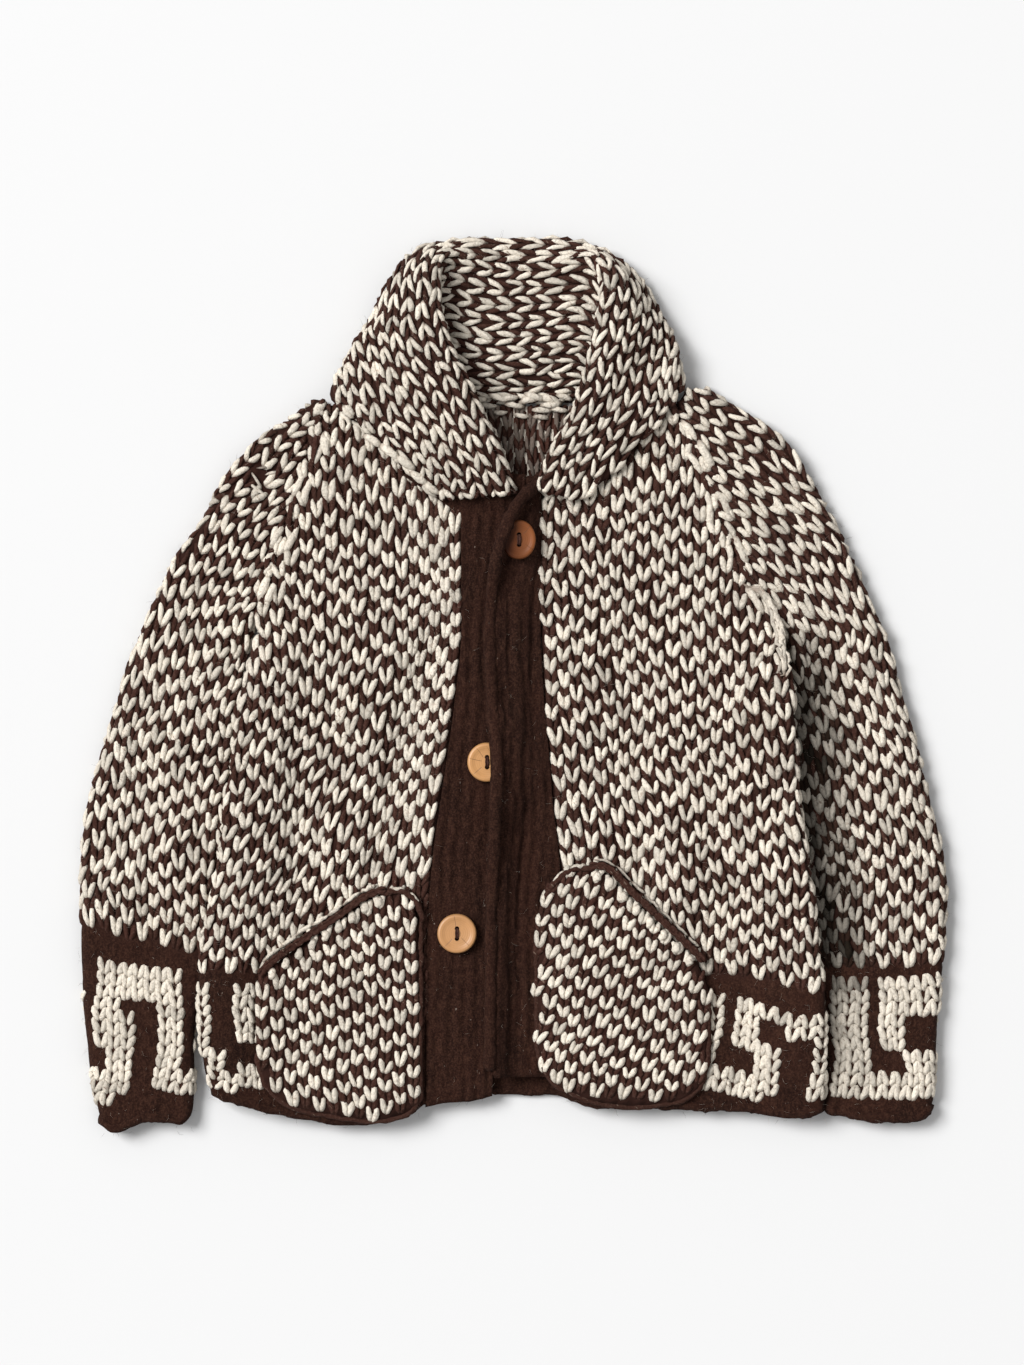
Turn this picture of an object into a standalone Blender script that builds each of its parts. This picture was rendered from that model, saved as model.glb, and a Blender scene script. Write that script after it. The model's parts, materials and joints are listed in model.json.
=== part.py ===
"""A thick hand-knitted jacket with a shawl collar, laid flat on its back.

Left and right are the wearer's, so the wearer's right side is at -X. The collar
is towards +Y and the hem towards -Y. All sizes are in millimetres until a mesh
is made. A knitted piece is a wall of even thickness about a middle surface,
and that surface comes from a short table with one row for each section.
"""
import math
from collections import namedtuple

import bmesh
import bpy
from mathutils import Vector

MM = 0.001

# Cloth
WALL = 4.5            # thickness of the knit
AIR = 3.5             # air between two layers that lie on each other
SEAM = 0.3            # gap between the edges of two pieces sewn together
CLEAR = 0.7           # gap between a piece and the one it lies on
LEVEL = WALL + AIR    # from the middle of one layer to the middle of the next

# The body's side edges lie on the sleeves' inner edges
LIFT = 2 * WALL + AIR + CLEAR
LIFT_REACH = 13.0     # the edge is fully raised this far in from the side
LIFT_SLOPE = 44.0     # and comes down to the surface over this width
ARMPIT_Y = 47.0       # the sleeve leaves the body here
LIFT_RUN = 50.0       # and the body's edge is fully raised this far below
LIFT_FADE_Y = -190.0  # near the hem the raised edge settles again
LIFT_FADE_RUN = 50.0
LIFT_AT_HEM = 0.25    # to this share of its height
CLOSED_Y = 30.0       # body and sleeve are closed tubes from here down
HEM_START_Y = -149.0  # below this the rows follow the hem's own line
HEM_Y = -240.0        # the hem's level before that line is added

# Creases fade out towards a panel's side edges
FRONT_CREASE_MARGIN = 4.0
FRONT_CREASE_FADE = 12.0
SLEEVE_CREASE_MARGIN = 8.0
SLEEVE_CREASE_FADE = 14.0

# Collar
ROLL_RADIUS = 4.5
TURN_RADIUS = 4.0
STAND_RUN = 12.0      # the first stretch of the collar above its seam
FALL_OVER_Z = 13.0    # a free edge this high lies on the fronts,
FALL_UNDER_RUN = 10.0  # and one this much lower has turned right under

# Bands
RIDGE_WIDTH = 9.0
RIDGE_HEIGHT = 3.0
OVERLAP_MARGIN = 2.0
OVERLAP_SLOPE = 9.0
OVERLAP_SEAM_GAP = 0.5
BAND_TOP_Y = 100
LAST_ROW_GAP = 8.0    # no row of a band is nearer than this to its lower end

# Buttons
BUTTON_RADIUS = 11.0
BUTTON_THICK = 4.0
BUTTON_RIM = 1.2
BUTTON_DISH = 0.7     # depth of the dished face
DISH_SHARE = 0.62     # and its radius as a share of the button's
HOLE_RADIUS = 1.3
HOLE_SPACING = 5.6
HIDDEN_BUTTON_REACH = 22.0
HIDDEN_BUTTON_SLOPE = 18.0
RIDGE_FLAT_REACH = 20.0  # the band's ridge is flat this near the top button
RIDGE_FLAT_SLOPE = 10.0

# Pockets, and the crocheted edging along their openings
PATCH_ROWS = 8
REST_REACH = 8.0      # a patch clears the front this far round each of its points
EDGING_RADIUS = 2.4

# A panel narrower than this, beside the neck, has its columns evenly spaced
NARROW_WIDTH = 60.0
NARROW_SLEEVE = 12.0

# Rows that all panels share, from the neck to the hem
ROW_Y = (157, 152, 137, 120, 100, 84, 66, 47, 38, 28, 15, -9, -37, -65, -93, -121, -149,
         -172, -195, -217, HEM_Y)

Side = namedtuple("Side", "y right left")
BODY_EDGES = [
    Side(158, -105, 91), Side(152, -108, 91), Side(137, -115, 100), Side(114, -121, 109),
    Side(92, -128, 116), Side(69, -135, 127), Side(47, -141, 140), Side(33, -144, 149),
    Side(19, -147, 153), Side(-9, -153, 158), Side(-54, -160, 160), Side(-82, -164, 163),
    Side(-121, -170, 169), Side(-149, -176, 172), Side(-177, -177, 175),
    Side(-205, -176, 175.5), Side(-225, -172, 175), Side(-244, -165, 173),
]
# How far the sleeve's inner edge is tucked in under the body's side edge, below the armpit;
# less than 0 is a gap beside it
SLEEVE_TUCK = [
    Side(47, 0, 0), Side(38, -0.9, -0.9), Side(28, -0.6, -0.6), Side(15, -0.6, -0.6),
    Side(-9, 8, 9), Side(-37, 9.5, 10), Side(-65, 9, 10), Side(-93, 8.5, 9), Side(-121, 9, 8),
    Side(-149, 8, 6), Side(-172, 4, 3), Side(-195, -1.8, -2), Side(-217, -4.5, -2.5),
    Side(-252, -16, -11),
]
SLEEVE_OUTER = [
    Side(168, -106, 107), Side(163, -110, 113), Side(158, -114.5, 121), Side(152, -122, 130),
    Side(137, -144, 154), Side(114, -165, 168), Side(92, -175.5, 180), Side(69, -192, 192),
    Side(47, -202, 201), Side(19, -214, 212.5), Side(-9, -223, 219), Side(-37, -231.5, 228),
    Side(-65, -239, 234), Side(-93, -243, 241), Side(-121, -244, 244), Side(-149, -243.5, 242.5),
    Side(-177, -242.5, 240), Side(-205, -240, 238), Side(-227, -237, 237), Side(-250, -231, 232),
]
SLEEVE_TOP = {"right": (160,), "left": (167,)}
COLLAR_SIDE_X = 97.0  # beside the collar, the left sleeve's top stands clear of it
CUFF_Y = {"right": -252.0, "left": -246.0}
SLEEVE_LAST_SHARED_Y = -217
CUFF_ROW_Y = -235

# Inner edge of each front: the neck line down to the top of the band, then the band's seam
FRONT_INNER = [
    Side(157, -101, 87), Side(152, -98, 82.5), Side(137, -72.5, 70.5), Side(120, -49.5, 52), Side(100, -31, 15.5),
    Side(84, -29.7, 15.5), Side(66, -29.5, 15.5), Side(28, -29.5, 15.7), Side(-9, -33, 17.5),
    Side(-65, -41, 22), Side(-93, -45, 25.5), Side(-121, -47.5, 27), Side(-177, -49.5, 26.5),
    Side(-250, -49.5, 24),
]
# Free edge of each band; the right one is hidden under the left one
BAND_FREE = [
    Side(100, 7, 5), Side(84, 6, -5.5), Side(66, 4, -10), Side(47, 1, -14), Side(-9, -1, -15),
    Side(-65, -4, -13), Side(-121, -8, -14), Side(-177, -10, -14), Side(-236, -12, -15),
]
BAND_END = {"right": -233.5, "left": -220.0}

Hem = namedtuple("Hem", "x y")
HEM_LINE = [
    Hem(-177, -230), Hem(-153, -237), Hem(-125, -244), Hem(-92, -248), Hem(-70, -246),
    Hem(-49, -236), Hem(0, -233), Hem(26, -233), Hem(43, -238), Hem(93, -239.5),
    Hem(127, -241), Hem(160, -245), Hem(176, -243),
]
BACK_HEM_SHORT = 3.0  # the back ends this much short of the fronts at the sides

# Soft ridges (height above 0) and troughs (below 0) across the two layers
Crease = namedtuple("Crease", "x0 y0 x1 y1 width height")
FRONT_CREASES = [
    Crease(-66, 25, -96, -98, 15, 3.2),
    Crease(-48, 22, -80, -102, 12, -2.4),
    Crease(-118, 40, -124, -110, 9, -1.5),
    Crease(-96, 95, -80, 45, 16, 1.5),
    Crease(42, 60, 44, -40, 15, 1.6),
    Crease(66, -40, 72, -100, 11, -1.6),
    Crease(104, 10, 98, -110, 20, 2.0),
    Crease(128, -8, 152, -22, 8, -1.4),
]
SLEEVE_CREASES = [
    Crease(-169, 92, -177, 15, 8, -1.8),
    Crease(-160, 20, -178, -70, 12, 1.6),
    Crease(-209, -55, -202, -143, 8, -1.8),
    Crease(-222, 20, -228, -60, 12, 1.4),
    Crease(205, 50, 220, -100, 16, 2.0),
    Crease(190, -110, 215, -140, 9, -1.4),
]

# Collar: a strip from the right front over the neck to the left front. Each row has its
# seam on the neck edge, its roll, the turn of the fall and its free edge. Where the free
# edge is low the fall has turned under the collar's outer side.
Collar = namedtuple("Collar", "seam roll turn free stand_z")
COLLAR_ROWS = [
    Collar((-29, 104, 10.2), (3, 107, 19.5), (-20, 105, 18.5), (-41, 103.5, 15.6), 11.0),
    Collar((-36, 109, 10.2), (-1.5, 122.5, 22.5), (-27, 114, 20.5), (-52, 112, 15.6), 12.0),
    Collar((-46, 118.5, 10.2), (-8, 139.5, 26.0), (-37, 127, 22.0), (-62, 123.5, 15.6), 12.5),
    Collar((-58, 127.5, 10.2), (-16.5, 156, 29.0), (-46, 143, 23.0), (-72.5, 133, 15.6), 12.5),
    Collar((-69, 135.8, 10.2), (-24.5, 171.5, 31.0), (-57, 157, 24.0), (-82, 142.5, 15.6), 12.5),
    Collar((-83.5, 145, 10.2), (-31, 186, 32.0), (-70, 171, 23.0), (-93, 152.5, 15.6), 12.5),
    Collar((-94.5, 154.5, 10.2), (-35, 199, 32.0), (-82, 181, 19.5), (-102, 159, 15.6), 12.5),
    Collar((-92, 160.5, 8.0), (-37.5, 209, 32.0), (-88, 191, 16.5), (-100.5, 169, 9.5), 12.0),
    Collar((-86, 160, 5.0), (-39, 219, 31.0), (-83.5, 200, 13.5), (-90.5, 170, 2.25), 10.5),
    Collar((-69, 159, 2.25), (-40, 234, 29.0), (-73.5, 222, 11.5), (-64, 176, 2.25), 9.0),
    Collar((-42, 158.2, 2.25), (-35, 240, 22.0), (-58, 243, 11.0), (-38, 177, 2.25), 9.0),
    Collar((-20, 158.2, 2.25), (-19, 236, 14.5), (-32, 251, 10.3), (-17, 177, 2.25), 9.0),
    Collar((1, 158.2, 2.25), (1, 234, 12.0), (1, 252, 10.3), (1, 177, 2.25), 9.0),
    Collar((20, 158.2, 2.25), (22, 236, 14.5), (34, 250.5, 10.3), (18, 177, 2.25), 9.0),
    Collar((38, 158.2, 2.25), (42, 238, 22.0), (58, 241, 11.0), (36, 177, 2.25), 9.0),
    Collar((56, 159, 2.25), (48, 230, 28.0), (72, 228, 11.5), (57, 176, 2.25), 9.0),
    Collar((70, 160, 4.0), (46.5, 214, 30.0), (84.5, 206, 13.0), (77, 171, 2.25), 10.0),
    Collar((79, 160, 8.5), (43.5, 199, 31.0), (91, 188, 17.0), (94.5, 170, 9.5), 12.0),
    Collar((78.2, 153.5, 10.2), (40, 184, 31.0), (77, 175, 21.0), (91, 160.5, 15.6), 12.5),
    Collar((72.5, 143.5, 10.2), (36, 167.5, 30.0), (66, 158, 22.5), (84.5, 152, 15.6), 12.5),
    Collar((62.5, 132, 10.2), (30, 152.5, 28.0), (55, 143, 22.0), (75, 140.5, 15.6), 12.5),
    Collar((50, 121.5, 10.2), (22, 138, 25.5), (43, 130, 21.0), (62, 126, 15.6), 12.0),
    Collar((32.5, 112, 10.2), (15.5, 123, 22.0), (33, 116.5, 19.5), (49, 112.5, 15.6), 11.5),
    Collar((18, 104.5, 10.2), (12, 110.5, 19.5), (22, 106, 18.0), (35, 102.5, 15.6), 11.0),
]

# Pockets: top and bottom of the patch at stations across its width
Patch = namedtuple("Patch", "x top bottom")
POCKETS = {
    "right": [Patch(-143, -172, -210), Patch(-138, -162, -226), Patch(-120, -148, -239),
              Patch(-97, -132.5, -243.5), Patch(-77.5, -119.5, -245.5), Patch(-64, -116.5, -243),
              Patch(-56, -119, -239), Patch(-51, -132, -231)],
    "left": [Patch(12, -149, -199), Patch(15, -128, -211), Patch(21, -113, -223),
             Patch(32, -104.5, -230), Patch(48, -104.5, -235.5), Patch(65, -119, -237.5),
             Patch(82, -135, -236.5), Patch(96, -148.5, -233), Patch(104, -157, -227),
             Patch(110, -172, -208)],
}
EDGING_SPAN = {"right": (-139, -70), "left": (42, 104)}

Button = namedtuple("Button", "name x y")
BUTTON_TOP = Button("button_top", 5.0, 80.5)
BUTTON_MIDDLE = Button("button_middle", -14.8, -43.7)
BUTTON_BOTTOM = Button("button_bottom", -31.6, -139.5)

CREAM_BROWN = (0.36, 0.29, 0.24)
DARK_BROWN = (0.045, 0.022, 0.015)
PALE_WOOD = (0.56, 0.34, 0.17)


# ---------------------------------------------------------------- curves and levels

def mix(a, b, t):
    return a + (b - a) * t


def smooth(t):
    t = min(1.0, max(0.0, t))
    return t * t * (3 - 2 * t)


def column(rows, key, value):
    """A curve through one column of a table: smooth, and never past its own rows."""
    points = sorted((getattr(row, key), getattr(row, value)) for row in rows)
    slopes = [(b[1] - a[1]) / (b[0] - a[0]) for a, b in zip(points, points[1:])]
    tangents = [slopes[0]]
    for before, after in zip(slopes, slopes[1:]):
        tangents.append(0.0 if before * after <= 0 else 2 * before * after / (before + after))
    tangents.append(slopes[-1])

    def at(where):
        where = min(points[-1][0], max(points[0][0], where))
        k = 0
        while k < len(slopes) - 1 and where > points[k + 1][0]:
            k += 1
        (x0, v0), (x1, v1) = points[k], points[k + 1]
        run = x1 - x0
        t = (where - x0) / run
        return ((1 + 2 * t) * (1 - t) ** 2 * v0 + t * (1 - t) ** 2 * run * tangents[k]
                + t * t * (3 - 2 * t) * v1 + t * t * (t - 1) * run * tangents[k + 1])

    return at


body_edge = {side: column(BODY_EDGES, "y", side) for side in ("right", "left")}
sleeve_tuck = {side: column(SLEEVE_TUCK, "y", side) for side in ("right", "left")}
sleeve_outer = {side: column(SLEEVE_OUTER, "y", side) for side in ("right", "left")}
front_inner = {side: column(FRONT_INNER, "y", side) for side in ("right", "left")}
band_free = {side: column(BAND_FREE, "y", side) for side in ("right", "left")}
hem_line = column(HEM_LINE, "x", "y")


def sleeve_inner(side, y):
    if y > ROW_Y[0]:
        return COLLAR_SIDE_X if side == "left" else body_edge[side](ROW_Y[0])
    if y >= ARMPIT_Y:
        return body_edge[side](y)
    inward = 1 if side == "right" else -1
    return body_edge[side](y) + inward * sleeve_tuck[side](y)


def crease(creases, x, y):
    """Height that the soft ridges and troughs add at a point."""
    height = 0.0
    for c in creases:
        run = Vector((c.x1 - c.x0, c.y1 - c.y0))
        from_start = Vector((x - c.x0, y - c.y0))
        along = min(1.0, max(0.0, from_start.dot(run) / run.length_squared))
        distance = (from_start - run * along).length
        height += c.height * math.exp(-(distance / c.width) ** 2)
    return height


def lift(x, y):
    """How far the body is raised where its side edge lies on a sleeve."""
    inward = min(x - body_edge["right"](y), body_edge["left"](y) - x)
    along = smooth((ARMPIT_Y - y) / LIFT_RUN) * mix(
        1.0, LIFT_AT_HEM, smooth((LIFT_FADE_Y - y) / LIFT_FADE_RUN))
    return LIFT * along * (1 - smooth((inward - LIFT_REACH) / LIFT_SLOPE))


def back_level(x, y):
    return WALL / 2 + lift(x, y)


def front_level(x, y):
    inward = min(x - body_edge["right"](y), body_edge["left"](y) - x)
    return back_level(x, y) + LEVEL + crease(FRONT_CREASES, x, y) * smooth(
        (inward - FRONT_CREASE_MARGIN) / FRONT_CREASE_FADE)


def resting_level(x, y, reach=REST_REACH):
    """The least height at which a piece clears the fronts all round a point."""
    around = ((0, 0), (reach, 0), (-reach, 0), (0, reach), (0, -reach))
    return max(front_level(x + dx, y + dy) for dx, dy in around) + WALL / 2 + CLEAR


def sleeve_level(x, y, side):
    inner, outer = sleeve_inner(side, y), sleeve_outer[side](y)
    inward = min(abs(x - inner), abs(outer - x))
    return WALL / 2 + LEVEL + crease(SLEEVE_CREASES, x, y) * smooth(
        (inward - SLEEVE_CREASE_MARGIN) / SLEEVE_CREASE_FADE)


def band_level(x, y, side):
    """The left band steps up where it lies on the right one and over the hidden button."""
    level = front_level(x, y)
    if side == "right":
        return level
    under = band_free["right"](y) + OVERLAP_MARGIN
    run = min(OVERLAP_SLOPE, front_inner["left"](y) - under - OVERLAP_SEAM_GAP)
    level += (WALL + CLEAR) * (1 - smooth((x - under) / run))
    near_button = math.hypot(x - BUTTON_MIDDLE.x, y - BUTTON_MIDDLE.y)
    level += (BUTTON_THICK + CLEAR) * (
        1 - smooth((near_button - HIDDEN_BUTTON_REACH) / HIDDEN_BUTTON_SLOPE))
    from_edge = (x - band_free["left"](y)) / RIDGE_WIDTH
    beside_top_button = smooth(
        (abs(y - BUTTON_TOP.y) - RIDGE_FLAT_REACH) / RIDGE_FLAT_SLOPE)
    if 0 < from_edge < 1:
        level += RIDGE_HEIGHT * math.sin(math.pi * from_edge) * beside_top_button
    return level


def closing(y):
    """0 where body and sleeve are one, 1 where each is a closed tube."""
    return smooth((ARMPIT_Y - y) / (ARMPIT_Y - CLOSED_Y))


def row_to_hem(y, x, hem):
    """Lower rows bend until the last one is the hem's own line."""
    if y >= HEM_START_Y:
        return y
    return y + (hem(x) - HEM_Y) * (HEM_START_Y - y) / (HEM_START_Y - HEM_Y)


# ---------------------------------------------------------------- walls

def wall_section(points, y, first_normal, last_normal, heading=1):
    """Pairs of upper and lower points of a wall whose middle runs through points (x, z).

    y is a number, or a function of x. heading is the way the points run in x at first.
    """
    pairs = []
    for k, (x, z) in enumerate(points):
        before, after = points[max(k - 1, 0)], points[min(k + 1, len(points) - 1)]
        tangent = Vector((after[0] - before[0], after[1] - before[1])).normalized()
        normal = Vector((-tangent.y, tangent.x)) * heading
        if k == 0:
            normal = Vector(first_normal)
        if k == len(points) - 1:
            normal = Vector(last_normal)
        normal = normal.normalized() * (WALL / 2)
        row_y = y(x) if callable(y) else y
        pairs.append((Vector((x + normal.x, row_y, z + normal.y)),
                      Vector((x - normal.x, row_y, z - normal.y))))
    return pairs


def turned_edge(edge, inward, level, other, closed, steps=2):
    """Middle points from a tube's side seam to where its wall runs level.

    A closed edge starts half way to the other wall and turns through a quarter circle.
    An open edge, where the piece is sewn to its neighbour, just runs level.
    """
    radius = abs(level - other) / 2
    up = 1 if level > other else -1
    start = SEAM / (2 * radius)
    points = []
    for k in range(steps + 1):
        angle = mix(start, math.pi / 2, k / steps)
        turned_x = WALL / 2 + radius * (1 - math.cos(angle))
        turned_z = (level + other) / 2 + up * radius * math.sin(angle)
        level_x = SEAM / 2 + (WALL / 2 + radius) * k / steps
        points.append((edge + inward * mix(level_x, turned_x, closed), mix(level, turned_z, closed)))
    return points


def make_sheet(name, rows, material):
    """One closed wall from rows of (upper, lower) point pairs."""
    mesh = bpy.data.meshes.new(name)
    build = bmesh.new()
    grid = [[tuple(build.verts.new(point * MM) for point in pair) for pair in row] for row in rows]
    last_row, last_pair = len(grid) - 1, len(grid[0]) - 1
    for r in range(last_row):
        for p in range(last_pair):
            corners = (grid[r][p], grid[r][p + 1], grid[r + 1][p + 1], grid[r + 1][p])
            build.faces.new([corner[0] for corner in corners])
            build.faces.new([corner[1] for corner in reversed(corners)])
    rim = ([grid[0][p] for p in range(last_pair)] + [grid[r][last_pair] for r in range(last_row)]
           + [grid[last_row][p] for p in range(last_pair, 0, -1)]
           + [grid[r][0] for r in range(last_row, 0, -1)])
    for here, following in zip(rim, rim[1:] + rim[:1]):
        build.faces.new((following[0], here[0], here[1], following[1]))
    bmesh.ops.triangulate(build, faces=build.faces[:])
    if build.calc_volume(signed=True) < 0:
        bmesh.ops.reverse_faces(build, faces=build.faces[:])
    build.to_mesh(mesh)
    build.free()
    mesh.shade_smooth()
    mesh.set_sharp_from_angle(angle=math.radians(50))
    mesh.materials.append(material)
    piece = bpy.data.objects.new(name, mesh)
    bpy.context.scene.collection.objects.link(piece)
    return piece


def make_material(name, colour, roughness):
    material = bpy.data.materials.new(name)
    material.use_nodes = True
    shader = material.node_tree.nodes["Principled BSDF"]
    shader.inputs["Base Color"].default_value = (*colour, 1.0)
    shader.inputs["Roughness"].default_value = roughness
    shader.inputs["Metallic"].default_value = 0.0
    return material


def two_colour_knit(name):
    return make_material(name + " two-colour wool", CREAM_BROWN, 0.95)


def brown_knit(name):
    return make_material(name + " brown wool", DARK_BROWN, 0.95)


# ---------------------------------------------------------------- panels

def inward_steps(width):
    """Distances in from a side edge: close together where the edge is raised."""
    return [min(distance, share * width)
            for distance, share in ((14, 0.14), (23, 0.3), (34, 0.44), (46, 0.58), (60, 0.74))]


def make_back():
    def hem(x):
        return hem_line(x) + BACK_HEM_SHORT

    rows = []
    for y in ROW_Y:
        right, left = body_edge["right"](y), body_edge["left"](y)
        closed = closing(y)
        low = back_level(right, y)
        start = turned_edge(right, 1, low, low + LEVEL, closed)
        low = back_level(left, y)
        end = turned_edge(left, -1, low, low + LEVEL, closed)
        near = inward_steps((left - right) / 2)
        xs = [right + d for d in near]
        xs.append((right + left) / 2)
        xs += [left - d for d in reversed(near)]
        points = start + [(x, back_level(x, y)) for x in xs] + end[::-1]
        rows.append(wall_section(points, lambda x, y=y: row_to_hem(y, x, hem),
                                 (closed, 1 - closed), (-closed, 1 - closed)))
    return make_sheet("back", rows, two_colour_knit("back"))


def make_front(side):
    inward = 1 if side == "right" else -1
    rows = []
    for y in ROW_Y:
        edge, inner = body_edge[side](y), front_inner[side](y) - inward * SEAM / 2
        closed = closing(y)
        width = abs(inner - edge)
        low = back_level(edge, y)
        start = turned_edge(edge, inward, low + LEVEL, low, closed)
        xs = [edge + inward * d for d in inward_steps(width)]
        xs += [edge + inward * width * share for share in (0.87, 1.0)]
        if width < NARROW_WIDTH:
            across = [edge + inward * mix(SEAM / 2, width, k / 9) for k in range(10)]
            start, xs = [(x, low + LEVEL) for x in across[:3]], across[3:]
        points = start + [(x, front_level(x, y)) for x in xs]
        rows.append(wall_section(points, lambda x, y=y: row_to_hem(y, x, hem_line),
                                 (-inward * closed, 1 - closed), (0, 1), heading=inward))
    return make_sheet("front_" + side, rows, two_colour_knit("front_" + side))


def make_sleeve(side):
    """One flat piece folded round at the outer edge, its underarm seam at the inner edge."""
    outward = -1 if side == "right" else 1
    rows = []
    lower = (CUFF_ROW_Y, CUFF_Y[side])
    for y in SLEEVE_TOP[side] + ROW_Y[:ROW_Y.index(SLEEVE_LAST_SHARED_Y) + 1] + lower:
        inner, outer = sleeve_inner(side, y), sleeve_outer[side](y)
        closed = closing(y)
        low = WALL / 2
        high = low + LEVEL
        upper = turned_edge(inner, outward, high, low, closed)
        under = turned_edge(inner, outward, low, high, closed)
        centre = outer - outward * (WALL + LEVEL) / 2
        if abs(centre - inner) < NARROW_SLEEVE:
            upper = [(mix(inner, centre, k / 6), high) for k in range(3)]
            under = [(mix(inner, centre, k / 6), low) for k in range(3)]
        between = [mix(upper[-1][0], centre, k / 5) for k in range(1, 5)]
        top = upper + [(x, sleeve_level(x, y, side)) for x in between]
        fold = []
        for k in range(5):
            angle = math.pi * k / 4
            fold.append((centre + outward * math.sin(angle) * LEVEL / 2,
                         low + LEVEL / 2 * (1 + math.cos(angle))))
        bottom = [(x, low) for x in reversed(between)] + under[::-1]
        start_normal = (-closed * outward, 1 - closed)
        end_normal = (-closed * outward, closed - 1)
        points = top + fold + bottom
        rows.append(wall_section(points, y, start_normal, end_normal, heading=outward))
    return make_sheet("sleeve_" + side, rows, two_colour_knit("sleeve_" + side))


def make_band(side):
    """A ribbed band from its seam on the front to its free edge."""
    towards_free = 1 if side == "right" else -1
    end = BAND_END[side]
    rows = []
    shared = [y for y in ROW_Y if BAND_TOP_Y >= y > end + LAST_ROW_GAP]
    for y in shared + [end]:
        seam = front_inner[side](y) + towards_free * SEAM / 2
        free = band_free[side](y)
        width = abs(free - seam)
        steps = [min(d, share * width)
                 for d, share in ((0, 0), (2, 0.15), (4.5, 0.3), (7, 0.45), (9.5, 0.6))]
        steps += [mix(steps[-1], width, k / 3) for k in (1, 2, 3)]
        points = [(free - towards_free * d, band_level(free - towards_free * d, y, side))
                  for d in steps]
        rows.append(wall_section(points, y, (0, 1), (0, 1), heading=-towards_free))
    return make_sheet("band_" + side, rows, brown_knit("band_" + side))


def make_pocket(side):
    """A patch with a slanted opening, raised just clear of the front that it is sewn to."""
    rows = []
    for patch in POCKETS[side]:
        row = []
        for k in range(PATCH_ROWS):
            y = mix(patch.top, patch.bottom, k / (PATCH_ROWS - 1))
            level = resting_level(patch.x, y)
            row.append((Vector((patch.x, y, level + WALL)), Vector((patch.x, y, level))))
        rows.append(row)
    return make_sheet("pocket_" + side, rows, two_colour_knit("pocket_" + side))


def make_edging(side):
    """A thick crocheted cord along a pocket's slanted opening."""
    top_line = column(POCKETS[side], "x", "top")
    start, end = EDGING_SPAN[side]
    stations, sides = 9, 6
    mesh = bpy.data.meshes.new("edging_" + side)
    build = bmesh.new()
    rings = []
    for k in range(stations):
        x = mix(start, end, k / (stations - 1))
        slope = (top_line(x + 0.5) - top_line(x - 0.5))
        along = Vector((1, slope, 0)).normalized()
        across = Vector((-along.y, along.x, 0))
        base = Vector((x, top_line(x), 0)) + across * (EDGING_RADIUS + 2 * SEAM)
        base.z = resting_level(base.x, base.y) + EDGING_RADIUS
        ring = []
        for s in range(sides):
            angle = math.tau * (s + 0.5) / sides
            ring.append(build.verts.new((base + across * math.cos(angle) * EDGING_RADIUS
                                         + Vector((0, 0, math.sin(angle) * EDGING_RADIUS))) * MM))
        rings.append(ring)
    for ring, following in zip(rings, rings[1:]):
        for s in range(sides):
            build.faces.new((ring[s], ring[(s + 1) % sides],
                             following[(s + 1) % sides], following[s]))
    build.faces.new(rings[0])
    build.faces.new(rings[-1][::-1])
    bmesh.ops.triangulate(build, faces=build.faces[:])
    bmesh.ops.recalc_face_normals(build, faces=build.faces[:])
    build.to_mesh(mesh)
    build.free()
    mesh.shade_smooth()
    mesh.materials.append(brown_knit("edging_" + side))
    piece = bpy.data.objects.new("edging_" + side, mesh)
    bpy.context.scene.collection.objects.link(piece)
    return piece


# ---------------------------------------------------------------- collar

def fold_points(point, before, after, radius, low_before, drop):
    """Three middle points round a fold: the strip comes from before and goes on to after."""
    to_before = (before.xy - point.xy).normalized()
    to_after = (after.xy - point.xy).normalized()
    tip = point.xy + (to_before + to_after) / 2 * (WALL / 2)
    high, low = point.z, point.z - drop
    z_before, z_after = (low, high) if low_before else (high, low)
    first, last = tip + to_before * radius, tip + to_after * radius
    return [Vector((*first, z_before)), Vector((*tip, (high + low) / 2)), Vector((*last, z_after))]


def spline_point(points, k, t):
    """A point between points k and k + 1 of a smooth curve through them all."""
    a, b = points[k], points[k + 1]
    before = points[k - 1] if k > 0 else a * 2 - b
    after = points[k + 2] if k + 2 < len(points) else b * 2 - a
    span = (b - a).length

    def tangent(p, q, r):
        one, two = (q - p).length, (r - q).length
        return ((q - p) / one * two + (r - q) / two * one) / (one + two) * span

    start, end = tangent(before, a, b), tangent(a, b, after)
    return (a * (1 + 2 * t) * (1 - t) ** 2 + start * t * (1 - t) ** 2
            + b * t * t * (3 - 2 * t) + end * t * t * (t - 1))


def collar_section(row):
    """The strip's middle line from its seam, over the roll and the turn, to its free edge."""
    seam, roll, turn, free = (Vector(p) for p in (row.seam, row.roll, row.turn, row.free))
    to_seam, to_turn = (seam.xy - roll.xy).normalized(), (turn.xy - roll.xy).normalized()
    folded = (1 + to_seam.dot(to_turn)) / 2
    over_roll = fold_points(roll, seam, turn, ROLL_RADIUS, True, 2 * ROLL_RADIUS * folded)
    under = smooth((FALL_OVER_Z - free.z) / FALL_UNDER_RUN)
    over_turn = fold_points(turn, roll, free, TURN_RADIUS, False, (turn.z - free.z) * under)
    stand = seam + (roll - seam).normalized() * STAND_RUN
    stand.z = row.stand_z
    controls = [seam, stand] + over_roll + over_turn + [free]
    cells = (1, 3, 1, 1, 2, 1, 1, 2)
    line = []
    for k, count in enumerate(cells):
        line += [spline_point(controls, k, step / count) for step in range(count)]
    return line + [controls[-1]]


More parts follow.
